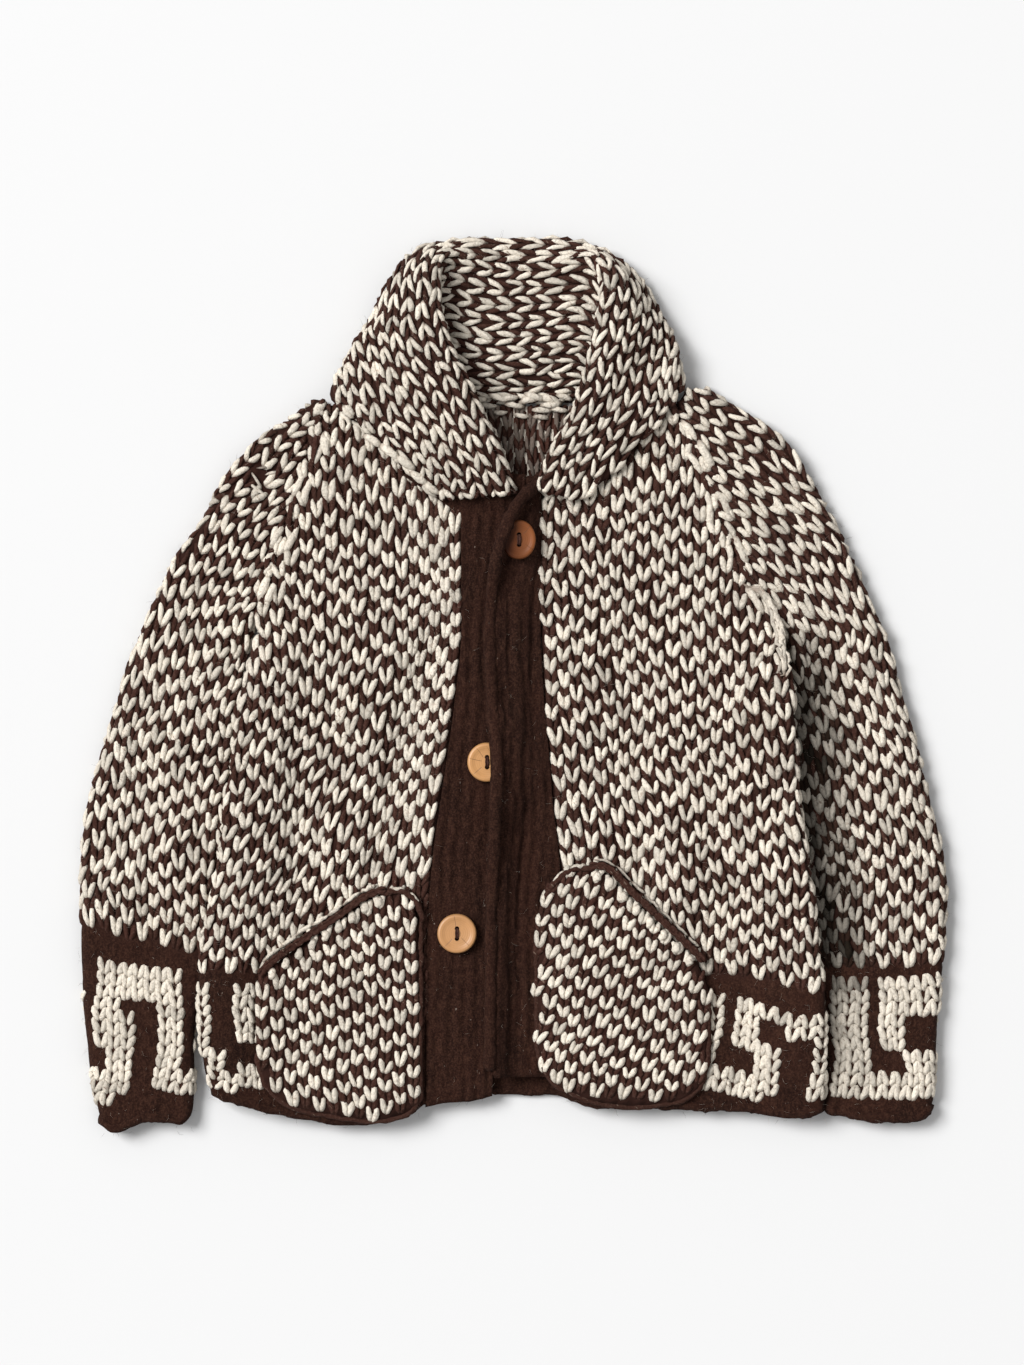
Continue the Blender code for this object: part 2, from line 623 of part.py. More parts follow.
def make_collar():
    lines = [collar_section(row) for row in COLLAR_ROWS]
    rows = []
    for r, line in enumerate(lines):
        row = []
        for p, point in enumerate(line):
            along = lines[min(r + 1, len(lines) - 1)][p] - lines[max(r - 1, 0)][p]
            across = line[min(p + 1, len(line) - 1)] - line[max(p - 1, 0)]
            normal = across.cross(along).normalized() * (WALL / 2)
            middle = Vector((point.x, point.y, max(point.z, WALL / 2)))
            pair = (middle + normal, middle - normal)
            row.append(tuple(Vector((q.x, q.y, max(q.z, 0.0))) for q in pair))
        rows.append(row)
    return make_sheet("collar", rows, two_colour_knit("collar"))


# ---------------------------------------------------------------- buttons

def cutter(location, radius, depth):
    bpy.ops.mesh.primitive_cylinder_add(vertices=10, radius=radius * MM, depth=depth * MM,
                                        location=location)
    tool = bpy.context.object
    tool.hide_render = True
    tool.display_type = "WIRE"
    return tool


def make_button(button, base_z):
    """A turned wooden disc with a dished face and two holes, one above the other."""
    mesh = bpy.data.meshes.new(button.name)
    build = bmesh.new()
    thick, rim, radius = BUTTON_THICK, BUTTON_RIM, BUTTON_RADIUS
    profile = [(0, 0), (radius - rim, 0), (radius, rim), (radius, thick - rim),
               (radius - rim, thick), (radius * DISH_SHARE, thick - BUTTON_DISH),
               (0, thick - BUTTON_DISH)]
    verts = [build.verts.new((r * MM, 0, z * MM)) for r, z in profile]
    edges = [build.edges.new(pair) for pair in zip(verts, verts[1:])]
    bmesh.ops.spin(build, geom=verts + edges, cent=(0, 0, 0), axis=(0, 0, 1),
                   angle=math.tau, steps=24, use_merge=True)
    bmesh.ops.remove_doubles(build, verts=build.verts[:], dist=1e-6)
    bmesh.ops.recalc_face_normals(build, faces=build.faces[:])
    build.to_mesh(mesh)
    build.free()
    mesh.shade_smooth()
    mesh.set_sharp_from_angle(angle=math.radians(40))
    mesh.materials.append(make_material(button.name + " wood", PALE_WOOD, 0.5))
    piece = bpy.data.objects.new(button.name, mesh)
    bpy.context.scene.collection.objects.link(piece)
    piece.location = Vector((button.x, button.y, base_z)) * MM
    for side in (-1, 1):
        centre = Vector((button.x, button.y + side * HOLE_SPACING / 2, base_z + thick / 2)) * MM
        hole = piece.modifiers.new("thread hole", "BOOLEAN")
        hole.operation = "DIFFERENCE"
        hole.object = cutter(centre, HOLE_RADIUS, thick * 2)
    return piece


def main():
    for existing in list(bpy.data.objects):
        bpy.data.objects.remove(existing, do_unlink=True)
    make_back()
    for side in ("right", "left"):
        make_front(side)
        make_sleeve(side)
        make_band(side)
        make_pocket(side)
        make_edging(side)
    make_collar()
    for button, side in ((BUTTON_TOP, "left"), (BUTTON_MIDDLE, "right"), (BUTTON_BOTTOM, "right")):
        under = max(band_level(button.x + BUTTON_RADIUS * math.cos(turn),
                               button.y + BUTTON_RADIUS * math.sin(turn), side)
                    for turn in (math.tau * k / 12 for k in range(12)))
        make_button(button, under + WALL / 2 + CLEAR)


main()
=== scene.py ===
"""The finished look of a thick hand-knitted jacket with a shawl collar, laid flat on its back.

Left and right are the wearer's, so the wearer's right side is at -X, and the collar is
towards +Y. Lengths are in millimetres until a mesh is made. Each knitted layer is a thin
wall on its part's own form, and every stitch on it is a pair of plump legs of yarn.
"""
import json
import math
from collections import namedtuple
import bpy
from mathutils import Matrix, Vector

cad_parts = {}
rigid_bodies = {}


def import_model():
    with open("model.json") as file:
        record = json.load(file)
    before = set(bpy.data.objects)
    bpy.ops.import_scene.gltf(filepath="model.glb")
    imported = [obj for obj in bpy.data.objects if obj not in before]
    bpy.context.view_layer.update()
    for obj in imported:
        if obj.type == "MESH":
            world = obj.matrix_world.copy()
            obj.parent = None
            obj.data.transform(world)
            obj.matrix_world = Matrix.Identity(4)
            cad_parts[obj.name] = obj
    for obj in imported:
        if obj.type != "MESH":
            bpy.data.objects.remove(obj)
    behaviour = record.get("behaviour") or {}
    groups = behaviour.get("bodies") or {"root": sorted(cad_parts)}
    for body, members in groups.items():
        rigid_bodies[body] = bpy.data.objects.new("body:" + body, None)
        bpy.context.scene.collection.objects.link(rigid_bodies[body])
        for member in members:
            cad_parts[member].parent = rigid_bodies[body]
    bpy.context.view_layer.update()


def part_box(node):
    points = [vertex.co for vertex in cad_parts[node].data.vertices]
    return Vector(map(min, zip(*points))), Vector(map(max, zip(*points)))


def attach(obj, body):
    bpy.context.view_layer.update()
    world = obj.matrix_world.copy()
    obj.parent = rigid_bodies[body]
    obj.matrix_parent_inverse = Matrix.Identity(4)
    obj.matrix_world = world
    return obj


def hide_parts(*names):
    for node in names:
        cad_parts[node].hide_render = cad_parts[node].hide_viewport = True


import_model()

from types import SimpleNamespace

import bpy
import numpy as np
from mathutils import Vector

bl_info = {
    "name": "Knitted jacket",
    "version": (1, 0, 0),
    "blender": (4, 5, 0),
    "location": "3D View > Sidebar > Knitted jacket",
    "description": "Knits a thick two-colour jacket with a shawl collar, stitch by stitch",
    "category": "Add Mesh",
}

MM = 0.001
TINY = 1e-9
SIDES = ("right", "left")
OUTWARD = {"right": -1, "left": 1}


def table(kind, *rows):
    return [kind(*row) for row in rows]


# ------------------------------------------------------------------ the garment's own sizes
WALL = 4.5             # one layer of knitting
AIR = 3.5              # between the two layers of a sleeve, and of the body
SEAM = 0.3             # gap between pieces that are sewn together
CLEAR = 0.7            # gap between pieces that lie on each other
LEVEL = WALL + AIR
LIFT = 2 * WALL + AIR + CLEAR      # how far the body's side edge is raised by a sleeve
LIFT_REACH = 13.0
LIFT_SLOPE = 44.0
ARMPIT_Y = 47.0
LIFT_RUN = 50.0
LIFT_FADE_Y = -190.0
LIFT_FADE_RUN = 50.0
LIFT_AT_HEM = 0.25
CLOSED_Y = 30.0        # below this body and sleeves are closed tubes
HEM_START_Y = -149.0   # below this the rows bend to the hem's line
HEM_Y = -240.0
NECK_Y = 157.0
FRONT_CREASE_MARGIN = 4.0
FRONT_CREASE_FADE = 12.0
SLEEVE_CREASE_MARGIN = 3.0
SLEEVE_CREASE_FADE = 9.0
ROLL_RADIUS = 4.5      # folds of the collar
TURN_RADIUS = 4.0
STAND_RUN = 12.0
FALL_OVER_Z = 13.0
FALL_UNDER_RUN = 10.0
RIDGE_WIDTH = 9.0      # the left band's rolled free edge
RIDGE_HEIGHT = 3.0
RIDGE_FLAT_REACH = 20.0
RIDGE_FLAT_SLOPE = 10.0
OVERLAP_MARGIN = 2.0   # where the left band steps up on the right one
OVERLAP_SLOPE = 9.0
OVERLAP_SEAM_GAP = 0.5
HIDDEN_BUTTON_REACH = 22.0
HIDDEN_BUTTON_SLOPE = 18.0
BUTTON_THICK = 4.0
HOLE_RADIUS = 1.3
HOLE_SPACING = 5.6
REST_REACH = 8.0       # a patch rests on the highest place this far round it
EDGING_RADIUS = 2.4

Side = namedtuple("Side", "y right left")
BODY_EDGES = table(Side,
    (158, -105, 91), (152, -108, 91), (137, -115, 100), (114, -121, 109), (92, -128, 116),
    (69, -135, 127), (47, -141, 140), (33, -144, 149), (19, -147, 153), (-9, -153, 158),
    (-54, -160, 160), (-82, -164, 163), (-121, -170, 169), (-149, -176, 172), (-177, -177, 175),
    (-205, -176, 175.5), (-225, -173, 175.5), (-244, -169, 174.5))
SLEEVE_TUCK = table(Side,
    (47, 0, 0), (38, -0.9, -0.9), (28, -0.6, -0.6), (15, -0.6, -0.6), (-9, 8, 9), (-37, 9.5, 10),
    (-65, 9, 10), (-93, 8.5, 9), (-121, 9, 8), (-149, 8, 6), (-172, 4, 4), (-195, -1.2, 3.0),
    (-217, -3.6, 2.6), (-252, -12, 2.2))
SLEEVE_OUTER = table(Side,
    (168, -106, 107), (163, -110, 113), (158, -114.5, 121), (152, -122, 130), (137, -144, 154),
    (114, -165, 168), (92, -175.5, 180), (69, -192, 192), (47, -202, 201), (19, -214, 212.5),
    (-9, -223, 219), (-37, -231.5, 228), (-65, -239, 234), (-93, -243, 241), (-121, -244, 244),
    (-149, -243.5, 242.5), (-177, -242.5, 240), (-205, -240, 238), (-227, -237, 237),
    (-250, -231, 232))
SLEEVE_TOP_Y = {"right": 160.0, "left": 167.0}
CUFF_Y = {"right": -252.0, "left": -246.0}
COLLAR_SIDE_X = 97.0
FRONT_INNER = table(Side,
    (157, -101, 87), (152, -98, 82.5), (137, -72.5, 70.5), (120, -49.5, 52), (100, -31, 15.5),
    (84, -29.7, 15.5), (66, -29.5, 15.5), (28, -29.5, 15.7), (-9, -33, 17.5), (-65, -41, 22),
    (-93, -45, 25.5), (-121, -47.5, 27), (-177, -49.5, 26.5), (-250, -49.5, 24))
BAND_FREE = table(Side,
    (100, 7, 5), (84, 6, -5.5), (66, 4, -10), (47, 1, -14), (-9, -1, -14.4), (-44, -3, -12.2),
    (-65, -4, -12.4), (-121, -8, -14), (-177, -10, -14), (-236, -12, -15))
BAND_TOP_Y = 100.0
BAND_TAB = 18.0        # the bands run on under the collar this far
TAB_START_Y = 96.0     # and the right one spreads over the front's corner there
TAB_SPREAD = 1.5
TAB_RUN = 8.0
TAB_RISE = 2.6
BAND_END = {"right": -233.5, "left": -220.0}
BAND_ROUNDING = 8.0    # the left band's lower corner is rounded over this length
BAND_ROUNDING_DEPTH = 4.0
# The right band's lower edge: its height at each x, and where its rows start to bend to it
BAND_END_LINE = ((-51, -237.4), (-46, -236.2), (-39, -234.6), (-24, -233.8), (-16, -231.9),
                 (-11, -230.6))
BAND_BEND_Y = -205.0
Hem = namedtuple("Hem", "x y")
HEM_LINE = table(Hem,
    (-177, -230), (-153, -237), (-125, -244), (-92, -248), (-72, -247), (-60, -243.5),
    (-49, -238.5), (-30, -234), (0, -233), (26, -233), (43, -238), (93, -239.5), (127, -241),
    (160, -245), (176, -243))
BACK_HEM_SHORT = 0.8
# How high the cuffs' lower edges stand at each x
CUFF_WAVES = {
    "right": [(-236, 3.5), (-231, 1.2), (-226, 0), (-220, 0.5), (-215, 3.2), (-208, 6.0),
              (-200, 6.8), (-192, 5.2), (-186, 4.6), (-181, 5.2), (-177, 7)],
    "left": [(172, 4), (182, 3.4), (188.5, 3.2), (192, 1.4), (196, 0.6), (205, 0.0), (219, 0.0),
             (228, 0.4), (233, 1.6), (238, 4)],
}
CUFF_CORNER = 5.0      # radius of the cuffs' corners
CORNER_RISE = 1.6      # the hem's corners
CORNER_REACH = 8.0
EDGE_ZONE = 24.0       # rows this far up from a lower edge take part in its shape
FINE_EDGE_ZONE = 96.0  # and the wall's rows are close together this far up
Crease = namedtuple("Crease", "x0 y0 x1 y1 width height")
FRONT_CREASES = table(Crease,
    (-66, 25, -96, -98, 14, 4.0), (-48, 22, -80, -102, 11, -3.8), (-118, 40, -124, -110, 9, -2.4),
    (-96, 95, -80, 45, 16, 2.0), (42, 60, 44, -40, 15, 2.4), (66, -40, 72, -100, 11, -2.8),
    (104, 10, 98, -110, 20, 2.8), (128, -8, 152, -22, 8, -2.0))
SLEEVE_CREASES = table(Crease,
    (-169, 92, -177, 15, 8, -2.6), (-160, 20, -178, -70, 12, 2.0),
    (-209, -55, -202, -143, 8, -2.6), (-222, 20, -228, -60, 12, 1.8),
    (205, 50, 220, -100, 16, 2.4), (190, -110, 215, -140, 9, -2.0), (165, 14, 174, -165, 13, -6.6),
    (176, -190, 177, -250, 9, -2.6))
Collar = namedtuple("Collar", "seam roll turn free stand_z")
COLLAR_ROWS = table(Collar,
    ((-29, 104, 10.2), (3, 107, 19.5), (-20, 105, 18.5), (-41, 103.5, 15.6), 11.0),
    ((-36, 109, 10.2), (-1.5, 122.5, 22.5), (-27, 114, 20.5), (-52, 112, 15.6), 12.0),
    ((-46, 118.5, 10.2), (-8, 139.5, 26.0), (-37, 127, 22.0), (-62, 123.5, 15.6), 12.5),
    ((-58, 127.5, 10.2), (-16.5, 156, 29.0), (-46, 143, 23.0), (-72.5, 133, 15.6), 12.5),
    ((-69, 135.8, 10.2), (-24.5, 171.5, 31.0), (-57, 157, 24.0), (-82, 142.5, 15.6), 12.5),
    ((-83.5, 145, 10.2), (-31, 186, 32.0), (-70, 171, 23.0), (-93, 152.5, 15.6), 12.5),
    ((-94.5, 154.5, 10.2), (-35, 199, 32.0), (-82, 181, 19.5), (-102, 159, 15.6), 12.5),
    ((-92, 160.5, 8.0), (-37.5, 209, 32.0), (-88, 191, 16.5), (-100.5, 169, 9.5), 12.0),
    ((-86, 160, 5.0), (-39, 219, 31.0), (-83.5, 200, 13.5), (-90.5, 170, 2.25), 10.5),
    ((-69, 159, 2.25), (-40, 234, 29.0), (-73.5, 222, 11.5), (-64, 176, 2.25), 9.0),
    ((-42, 158.2, 2.25), (-35, 240, 22.0), (-58, 243, 11.0), (-38, 177, 2.25), 9.0),
    ((-20, 158.2, 2.25), (-19, 236, 14.5), (-32, 251, 10.3), (-17, 177, 2.25), 9.0),
    ((1, 158.2, 2.25), (1, 234, 12.0), (1, 252, 10.3), (1, 177, 2.25), 9.0),
    ((20, 158.2, 2.25), (22, 236, 14.5), (34, 250.5, 10.3), (18, 177, 2.25), 9.0),
    ((38, 158.2, 2.25), (42, 238, 22.0), (58, 241, 11.0), (36, 177, 2.25), 9.0),
    ((56, 159, 2.25), (48, 230, 28.0), (72, 228, 11.5), (57, 176, 2.25), 9.0),
    ((70, 160, 4.0), (46.5, 214, 30.0), (84.5, 206, 13.0), (77, 171, 2.25), 10.0),
    ((79, 160, 8.5), (43.5, 199, 31.0), (91, 188, 17.0), (94.5, 170, 9.5), 12.0),
    ((78.2, 153.5, 10.2), (40, 184, 31.0), (77, 175, 21.0), (91, 160.5, 15.6), 12.5),
    ((72.5, 143.5, 10.2), (36, 167.5, 30.0), (66, 158, 22.5), (84.5, 152, 15.6), 12.5),
    ((62.5, 132, 10.2), (30, 152.5, 28.0), (55, 143, 22.0), (75, 140.5, 15.6), 12.5),
    ((50, 121.5, 10.2), (22, 138, 25.5), (43, 130, 21.0), (62, 126, 15.6), 12.0),
    ((32.5, 112, 10.2), (15.5, 123, 22.0), (33, 116.5, 19.5), (49, 112.5, 15.6), 11.5),
    ((18, 104.5, 10.2), (12, 110.5, 19.5), (22, 106, 18.0), (35, 102.5, 15.6), 11.0))
COLLAR_STATIONS = 7    # sections from one row of the collar to the next
NECK_STRETCH = 0.78    # fewer rows for each length round the back of the neck
NECK_STRETCH_Y = 205.0
NECK_STRETCH_RUN = 22.0
Patch = namedtuple("Patch", "x top bottom")
POCKETS = {
    "right": table(Patch,
        (-143, -172, -210), (-138, -162, -226), (-120, -148, -239), (-97, -132.5, -243.5),
        (-77.5, -119.5, -245.5), (-64, -116.5, -243), (-56, -119, -239), (-51, -132, -231)),
    "left": table(Patch,
        (12, -149, -199), (15, -128, -211), (21, -113, -223), (32, -104.5, -230),
        (48, -104.5, -235.5), (65, -119, -237.5), (82, -135, -236.5), (96, -148.5, -233),
        (104, -157, -227), (110, -172, -208)),
}
POCKET_MARGIN = 2.0
POCKET_LOW_Y = -252.0
POCKET_HIGH_Y = -99.0
POCKET_PUFF = 1.6      # how far a pocket stands out in its middle, and drops to its edge
POCKET_PUFF_REACH = 26.0
POCKET_DROP = 2.6
POCKET_DROP_MARGIN = 1.5
POCKET_DROP_REACH = 7.0
POCKET_PLAIN_SIDE = 1.0      # no stitches show this near to a pocket's outline
POCKET_PLAIN_EDGE = 4.2      # and this far up from its bottom line
POCKET_OUT = 0.8
UNDER_POCKET = 9.0           # the front has no stitches this far inside a pocket's outline
EDGING_SPAN = {"right": (-139, -70), "left": (42, 104)}
Button = namedtuple("Button", "name x y")
BUTTON_TOP = Button("button_top", 5.0, 80.5)
BUTTON_MIDDLE = Button("button_middle", -14.8, -43.7)
BUTTON_BOTTOM = Button("button_bottom", -31.6, -139.5)
BUTTONS = (BUTTON_TOP, BUTTON_MIDDLE, BUTTON_BOTTOM)
TUCKED_UNDER_RIDGE = 1.9
TILTED_SHARE = 0.92          # the top button leans, so it shows narrower on its right
DISC_SEGMENTS = 72
HOLE_SEGMENTS = 24
SHARP_ANGLE = 40.0
DISC_PROFILE = [(0.05, 0.0), (9.6, 0.0), (10.5, 0.35), (11.0, 1.1), (11.0, 2.8), (10.75, 3.5),
                (10.2, 3.9), (9.4, 4.0), (8.4, 3.85), (7.4, 3.45), (6.4, 3.3), (0.05, 3.3)]
# The rolled free edge of the left band, which turns over the top button and under the collar
RIDGE_LINE = [(16, 118), (11.5, 110.3), (4, 103), (-2.2, 92.5), (-6.6, 80), (-10.2, 66),
              (-12.4, 47), (-11.8, -9), (-8.8, -44), (-9.6, -65), (-12.2, -121), (-12.8, -170),
              (-13.3, -216)]
RIDGE_ROLL = 3.4
RIDGE_OVER_BUTTON = 34.0     # the roll starts to climb this far from the button's middle
RIDGE_CLIMB = 16.0
RIDGE_RINGS = 170
RIB_PITCH = 7.0

# ------------------------------------------------------------------ how it is knitted
# A middle wale of each sleeve: its x at each height, and how its courses slope
Wale = namedtuple("Wale", "y right right_slope left left_slope")
SLEEVE_WALES = table(Wale,
    (165, -50, -0.92, 18, 0.95), (137, -84, -0.94, 61, 0.94), (109, -117, -0.98, 101, 0.86),
    (86, -139, -0.92, 129, 0.80), (58, -156, -0.80, 154.5, 0.66), (36, -166.5, -0.70, 169, 0.48),
    (8, -175.5, -0.58, 181.5, 0.35), (-20, -182, -0.50, 190, 0.28), (-65, -189, -0.42, 202, 0.24),
    (-121, -194.5, -0.30, 210.5, 0.10), (-165, -195.4, -0.15, 210.0, 0.02),
    (-200, -196.3, -0.14, 209.4, 0.0), (-227, -199.3, -0.13, 209.2, 0.0),
    (-250, -202, -0.12, 208.8, 0.0))
SLEEVE_ROW_START = {"right": -251.0, "left": -249.0}
SLEEVE_WALE_SHARE = 0.93     # a sleeve's wales and rows beside the body's
SLEEVE_ROW_SHARE = 1.03
# Towards the shoulder a sleeve's wales fan out (y, share) and its courses lie closer
WALE_FAN = ((-250, 0.97), (-165, 0.95), (-120, 1.0), (10, 1.0), (36, 1.05), (58, 1.24),
            (86, 1.50), (109, 1.62), (137, 1.95), (165, 2.1))
COURSES_CLOSER = 0.0016
COURSES_CLOSER_FROM = 4.0
WALES_SHOWN = 8.0      # the fan and the slope stop this many wales from the middle one
UPPER_WALES = 9        # wales of a sleeve's upper side, each way from the middle one
# Cream bars of the key bands: first and last wale, lowest and highest row
Bar = namedtuple("Bar", "first last low high")
KEY_BARS = {
    "sleeve_right": table(Bar,
        (-5, 1, 11, 13), (-5, -4, 7, 13), (-4, -3, 5, 6), (-3, -3, 3, 9), (-6, -4, 2, 4),
        (0, 1, 4, 13), (2, 3, 4, 5)),
    "sleeve_left": table(Bar,
        (-4, -2, 3, 12), (0, 1, 7, 12), (2, 4, 10, 12), (2, 4, 3, 6), (-1, 1, 3, 4)),
    "front_right": table(Bar,
        (16, 17, 1, 10), (15, 15, 3, 4), (14, 15, 1, 2), (12, 13, 2, 3), (12, 13, 6, 10)),
    "front_left": table(Bar,
        (11, 11, 3, 9), (13, 14, 6, 9), (15, 16, 9, 9), (17, 20, 8, 9), (15, 15, 2, 6),
        (16, 16, 3, 6), (10, 14, 2, 3), (19, 20, 3, 7)),
}
# One turn of the key, repeated where no bar is listed: the back and the undersides
KEY_REPEAT_WALES = 8
KEY_REPEAT = table(Bar,
    (0, 4, 10, 12), (0, 1, 6, 12), (1, 2, 3, 8), (-1, 2, 3, 4), (4, 5, 3, 12), (5, 6, 3, 4))
LISTED_FROM = {"front_right": 9, "front_left": 9}      # wales hidden by the pocket come first
KEY_TOP = {"sleeve_right": -147.0, "sleeve_left": -157.5, "front_right": -160.0,
           "front_left": -165.0, "back": -160.0}
PLAIN_WALE_Y = -112.0  # below this the right front's first wale is brown
# How the fronts' courses slope at each height, about one x, and how far the right front's
# wales are drawn in beside its band
FRONT_COURSES = {"right": ((-160, 0.0), (-60, 0.12), (60, 0.12), (130, 0.27)),
                 "left": ((-160, 0.0), (-70, -0.145), (160, -0.14))}
COURSE_PIVOT = {"right": -135.0, "left": 105.0}
COURSE_REACH = 95.0
DRAWN_IN = 9.0
DRAWN_IN_REACH = 38.0
DRAWN_IN_FADE = (-160.0, -60.0)
# Towards its lower side corner the left front's courses drop and its wales lean inwards
COURSE_DROP = 0.20
COURSE_DROP_X = (122.0, 160.0)
COURSE_DROP_FADE = (-60.0, -160.0)
WALE_LEAN = 0.12
WALE_LEAN_Y = -168.0
# Centre and half-widths of the worn place on the right sleeve
WORN_PLACE = (-141.5, 115.0, 5.0, 6.5)
# Wale, row, slope of the courses and lean of the wales of each pocket
PocketKnit = namedtuple("PocketKnit", "wale row slope lean")
POCKET_KNIT = {"right": PocketKnit(7.6, 5.8, -0.20, 0.0),
               "left": PocketKnit(8.1, 5.4, -0.06, 0.28)}
POCKET_LEAN_Y = 60.0
# Numbers of the first wale and of the one past the last; the same for rows
Chart = namedtuple("Chart", "wales rows")
FRONT_CHART = Chart((-12, 26), (0, 66))
BACK_CHART = Chart((-30, 30), (0, 62))
NECK_CHART = Chart((-6, 6), (50, 62))
SLEEVE_CHART = Chart((-36, 37), (-12, 76))
COLLAR_WALES = (-14, 16)
POCKET_CHART = Chart((-6, 20), (-2, 36))
FIRST_ROW = 3.0        # from the hem to the first row
INNER_WALES_Y = 96.0   # above this the fronts' wales no longer follow the inner edge
# Seeds of each piece's uneven places, and of its stitches
SEEDS = {"front_right": (11, 21), "front_left": (17, 22), "back": (31, 32),
         "sleeve_right": (41, 43), "sleeve_left": (47, 49), "collar": (51, 53),
         "pocket": (71, 73)}
# Waves that hand knitting puts in a stitch's place: height and length
WAVES_ACROSS = ((1.5, 58.0), (0.7, 24.0))
WAVES_UP = ((1.3, 70.0), (0.7, 26.0))

FABRIC_STEP = 1.6      # spacing of a fabric's own grid, across and up
FABRIC_RISE = 3.0
FABRIC_MARGIN = 14.0
BACKING_OUT = 0.2      # the wall behind the stitches, out and in from the layer's middle
BACKING_IN = 1.7
BAND_OUT = 0.1         # the same for the ribbed bands
BAND_IN = 1.9
FLOOR_GAP = 0.2
UV_UNIT = 10.0         # walls are unrolled in centimetres
STITCH_UV = (0.77, 0.65)   # and one stitch of the inner side's floats is this big there

# One leg of a stitch, from its base to its top: side and rise in wales and rows, thickness
# as a share of the yarn's, height over the layer's middle in millimetres
Leg = namedtuple("Leg", "side rise thick height")
STITCH_LEG = table(Leg,
    (0.045, -0.74, 0.40, -0.30), (0.105, -0.46, 0.86, 0.60), (0.190, -0.06, 1.05, 1.10),
    (0.262, 0.38, 1.08, 1.05), (0.315, 0.78, 0.88, 0.50), (0.342, 1.04, 0.42, -0.70))
STITCH_LEG_UNDER = [STITCH_LEG[0], STITCH_LEG[2]._replace(rise=0.15, side=0.20), STITCH_LEG[5]]
Shape = namedtuple("Shape", "width splay reach unevenness raised", defaults=(0.0,))
PLAIN = Shape(1.05, 1.08, 0.93, 1.0)
COLLAR_SHAPE = Shape(0.96, 1.08, 1.10, 1.0)
POCKET_SHAPE = Shape(1.05, 1.0, 0.90, 0.7)
NECK_SHAPE = Shape(0.86, 0.95, 1.15, 1.0, 1.5)
YARN_WIDTH = 1.47
YARN_DEPTH = 1.20
CREAM_RAISED = 0.45    # cream stitches stand over the brown ones beside them
CREAM_FULLER = 0.11
FACES_DOWN = -0.35     # stitches whose normal's z is lower have fewer rings
STITCH_OVERHANG = 0.8  # how far a stitch's middle, and its legs, may pass a fabric's edges
ROW_OVERHANG = 1.0
LEG_OVERHANG = 0.6
# How much each thing varies from stitch to stitch, leg to leg and ring to ring
UNEVEN = SimpleNamespace(across=0.036, up=0.055, lean=0.055, size=0.06, raised=0.13,
                         leg_fat=0.08, leg_reach=0.05, opening=0.10, leg_up=0.045,
                         ring_across=0.012, ring_height=0.10, ring_fat=0.05, leg_tone=0.4)
# The key bands' stitches are steadier, fuller, wider and shorter, by these shares
NEAT = SimpleNamespace(steadier=0.6, fuller=0.10, wider=0.24, shorter=0.14)
UNEVEN_WOOL = 0.11     # how lumpy a strand is, as a share of its thickness
LUMP_LIMIT = 0.3
FELT_HEIGHT = 1.25     # felted wool covers the stitches under it up to this height
DEEP_SHADE = 7.4       # painted shadow: how much darker the sleeve's wool is made beside the left front's raised edge
DEEP_REACH = 34.0
DEEP_FADE = (44.0, -8.0)   # the shade sets in between these heights
DEEP_LOW_FADE = (-185.0, -155.0)
DEEP_LOW_SHARE = 0.35  # and is this weak at the cuff
NECK_PAINTED_SHADE_DYE = 0.17    # painted shade: the low dye that darkens cream wool inside the neck
FIBRES_ON_PANEL = 2600
FIBRES_ON_BAND = 2600
FIBRES_ON_COLLAR = 2200

# ------------------------------------------------------------------ strands listed one by one
# The cream strand beyond each edging: thickness and dye
OUTER_STRAND = {"right": (1.3, 1.0), "left": (0.8, 0.7)}
# Where the edging goes on as a dark strand round each pocket's corner
POCKET_CORNER = {
    "right": [(-74, -117.6), (-66, -115.8), (-58, -118.0), (-53, -124.5), (-50.8, -133)],
    "left": [(46, -103.6), (38, -103.0), (29, -105.8), (22, -112.5), (18, -120.5)],
}
# One loop of a crocheted chain: place along it, to its side, and height
CHAIN_LOOP = ((-0.75, 0.30, -0.6), (-0.45, 0.62, 0.6), (0.0, 0.72, 1.25), (0.45, 0.55, 0.9),
              (0.8, 0.15, 0.3))
CHAIN_LOOP_FAT = (0.45, 0.9, 1.05, 0.9, 0.4)
Thick = namedtuple("Thick", "x0 y0 x1 y1 z fat dye")
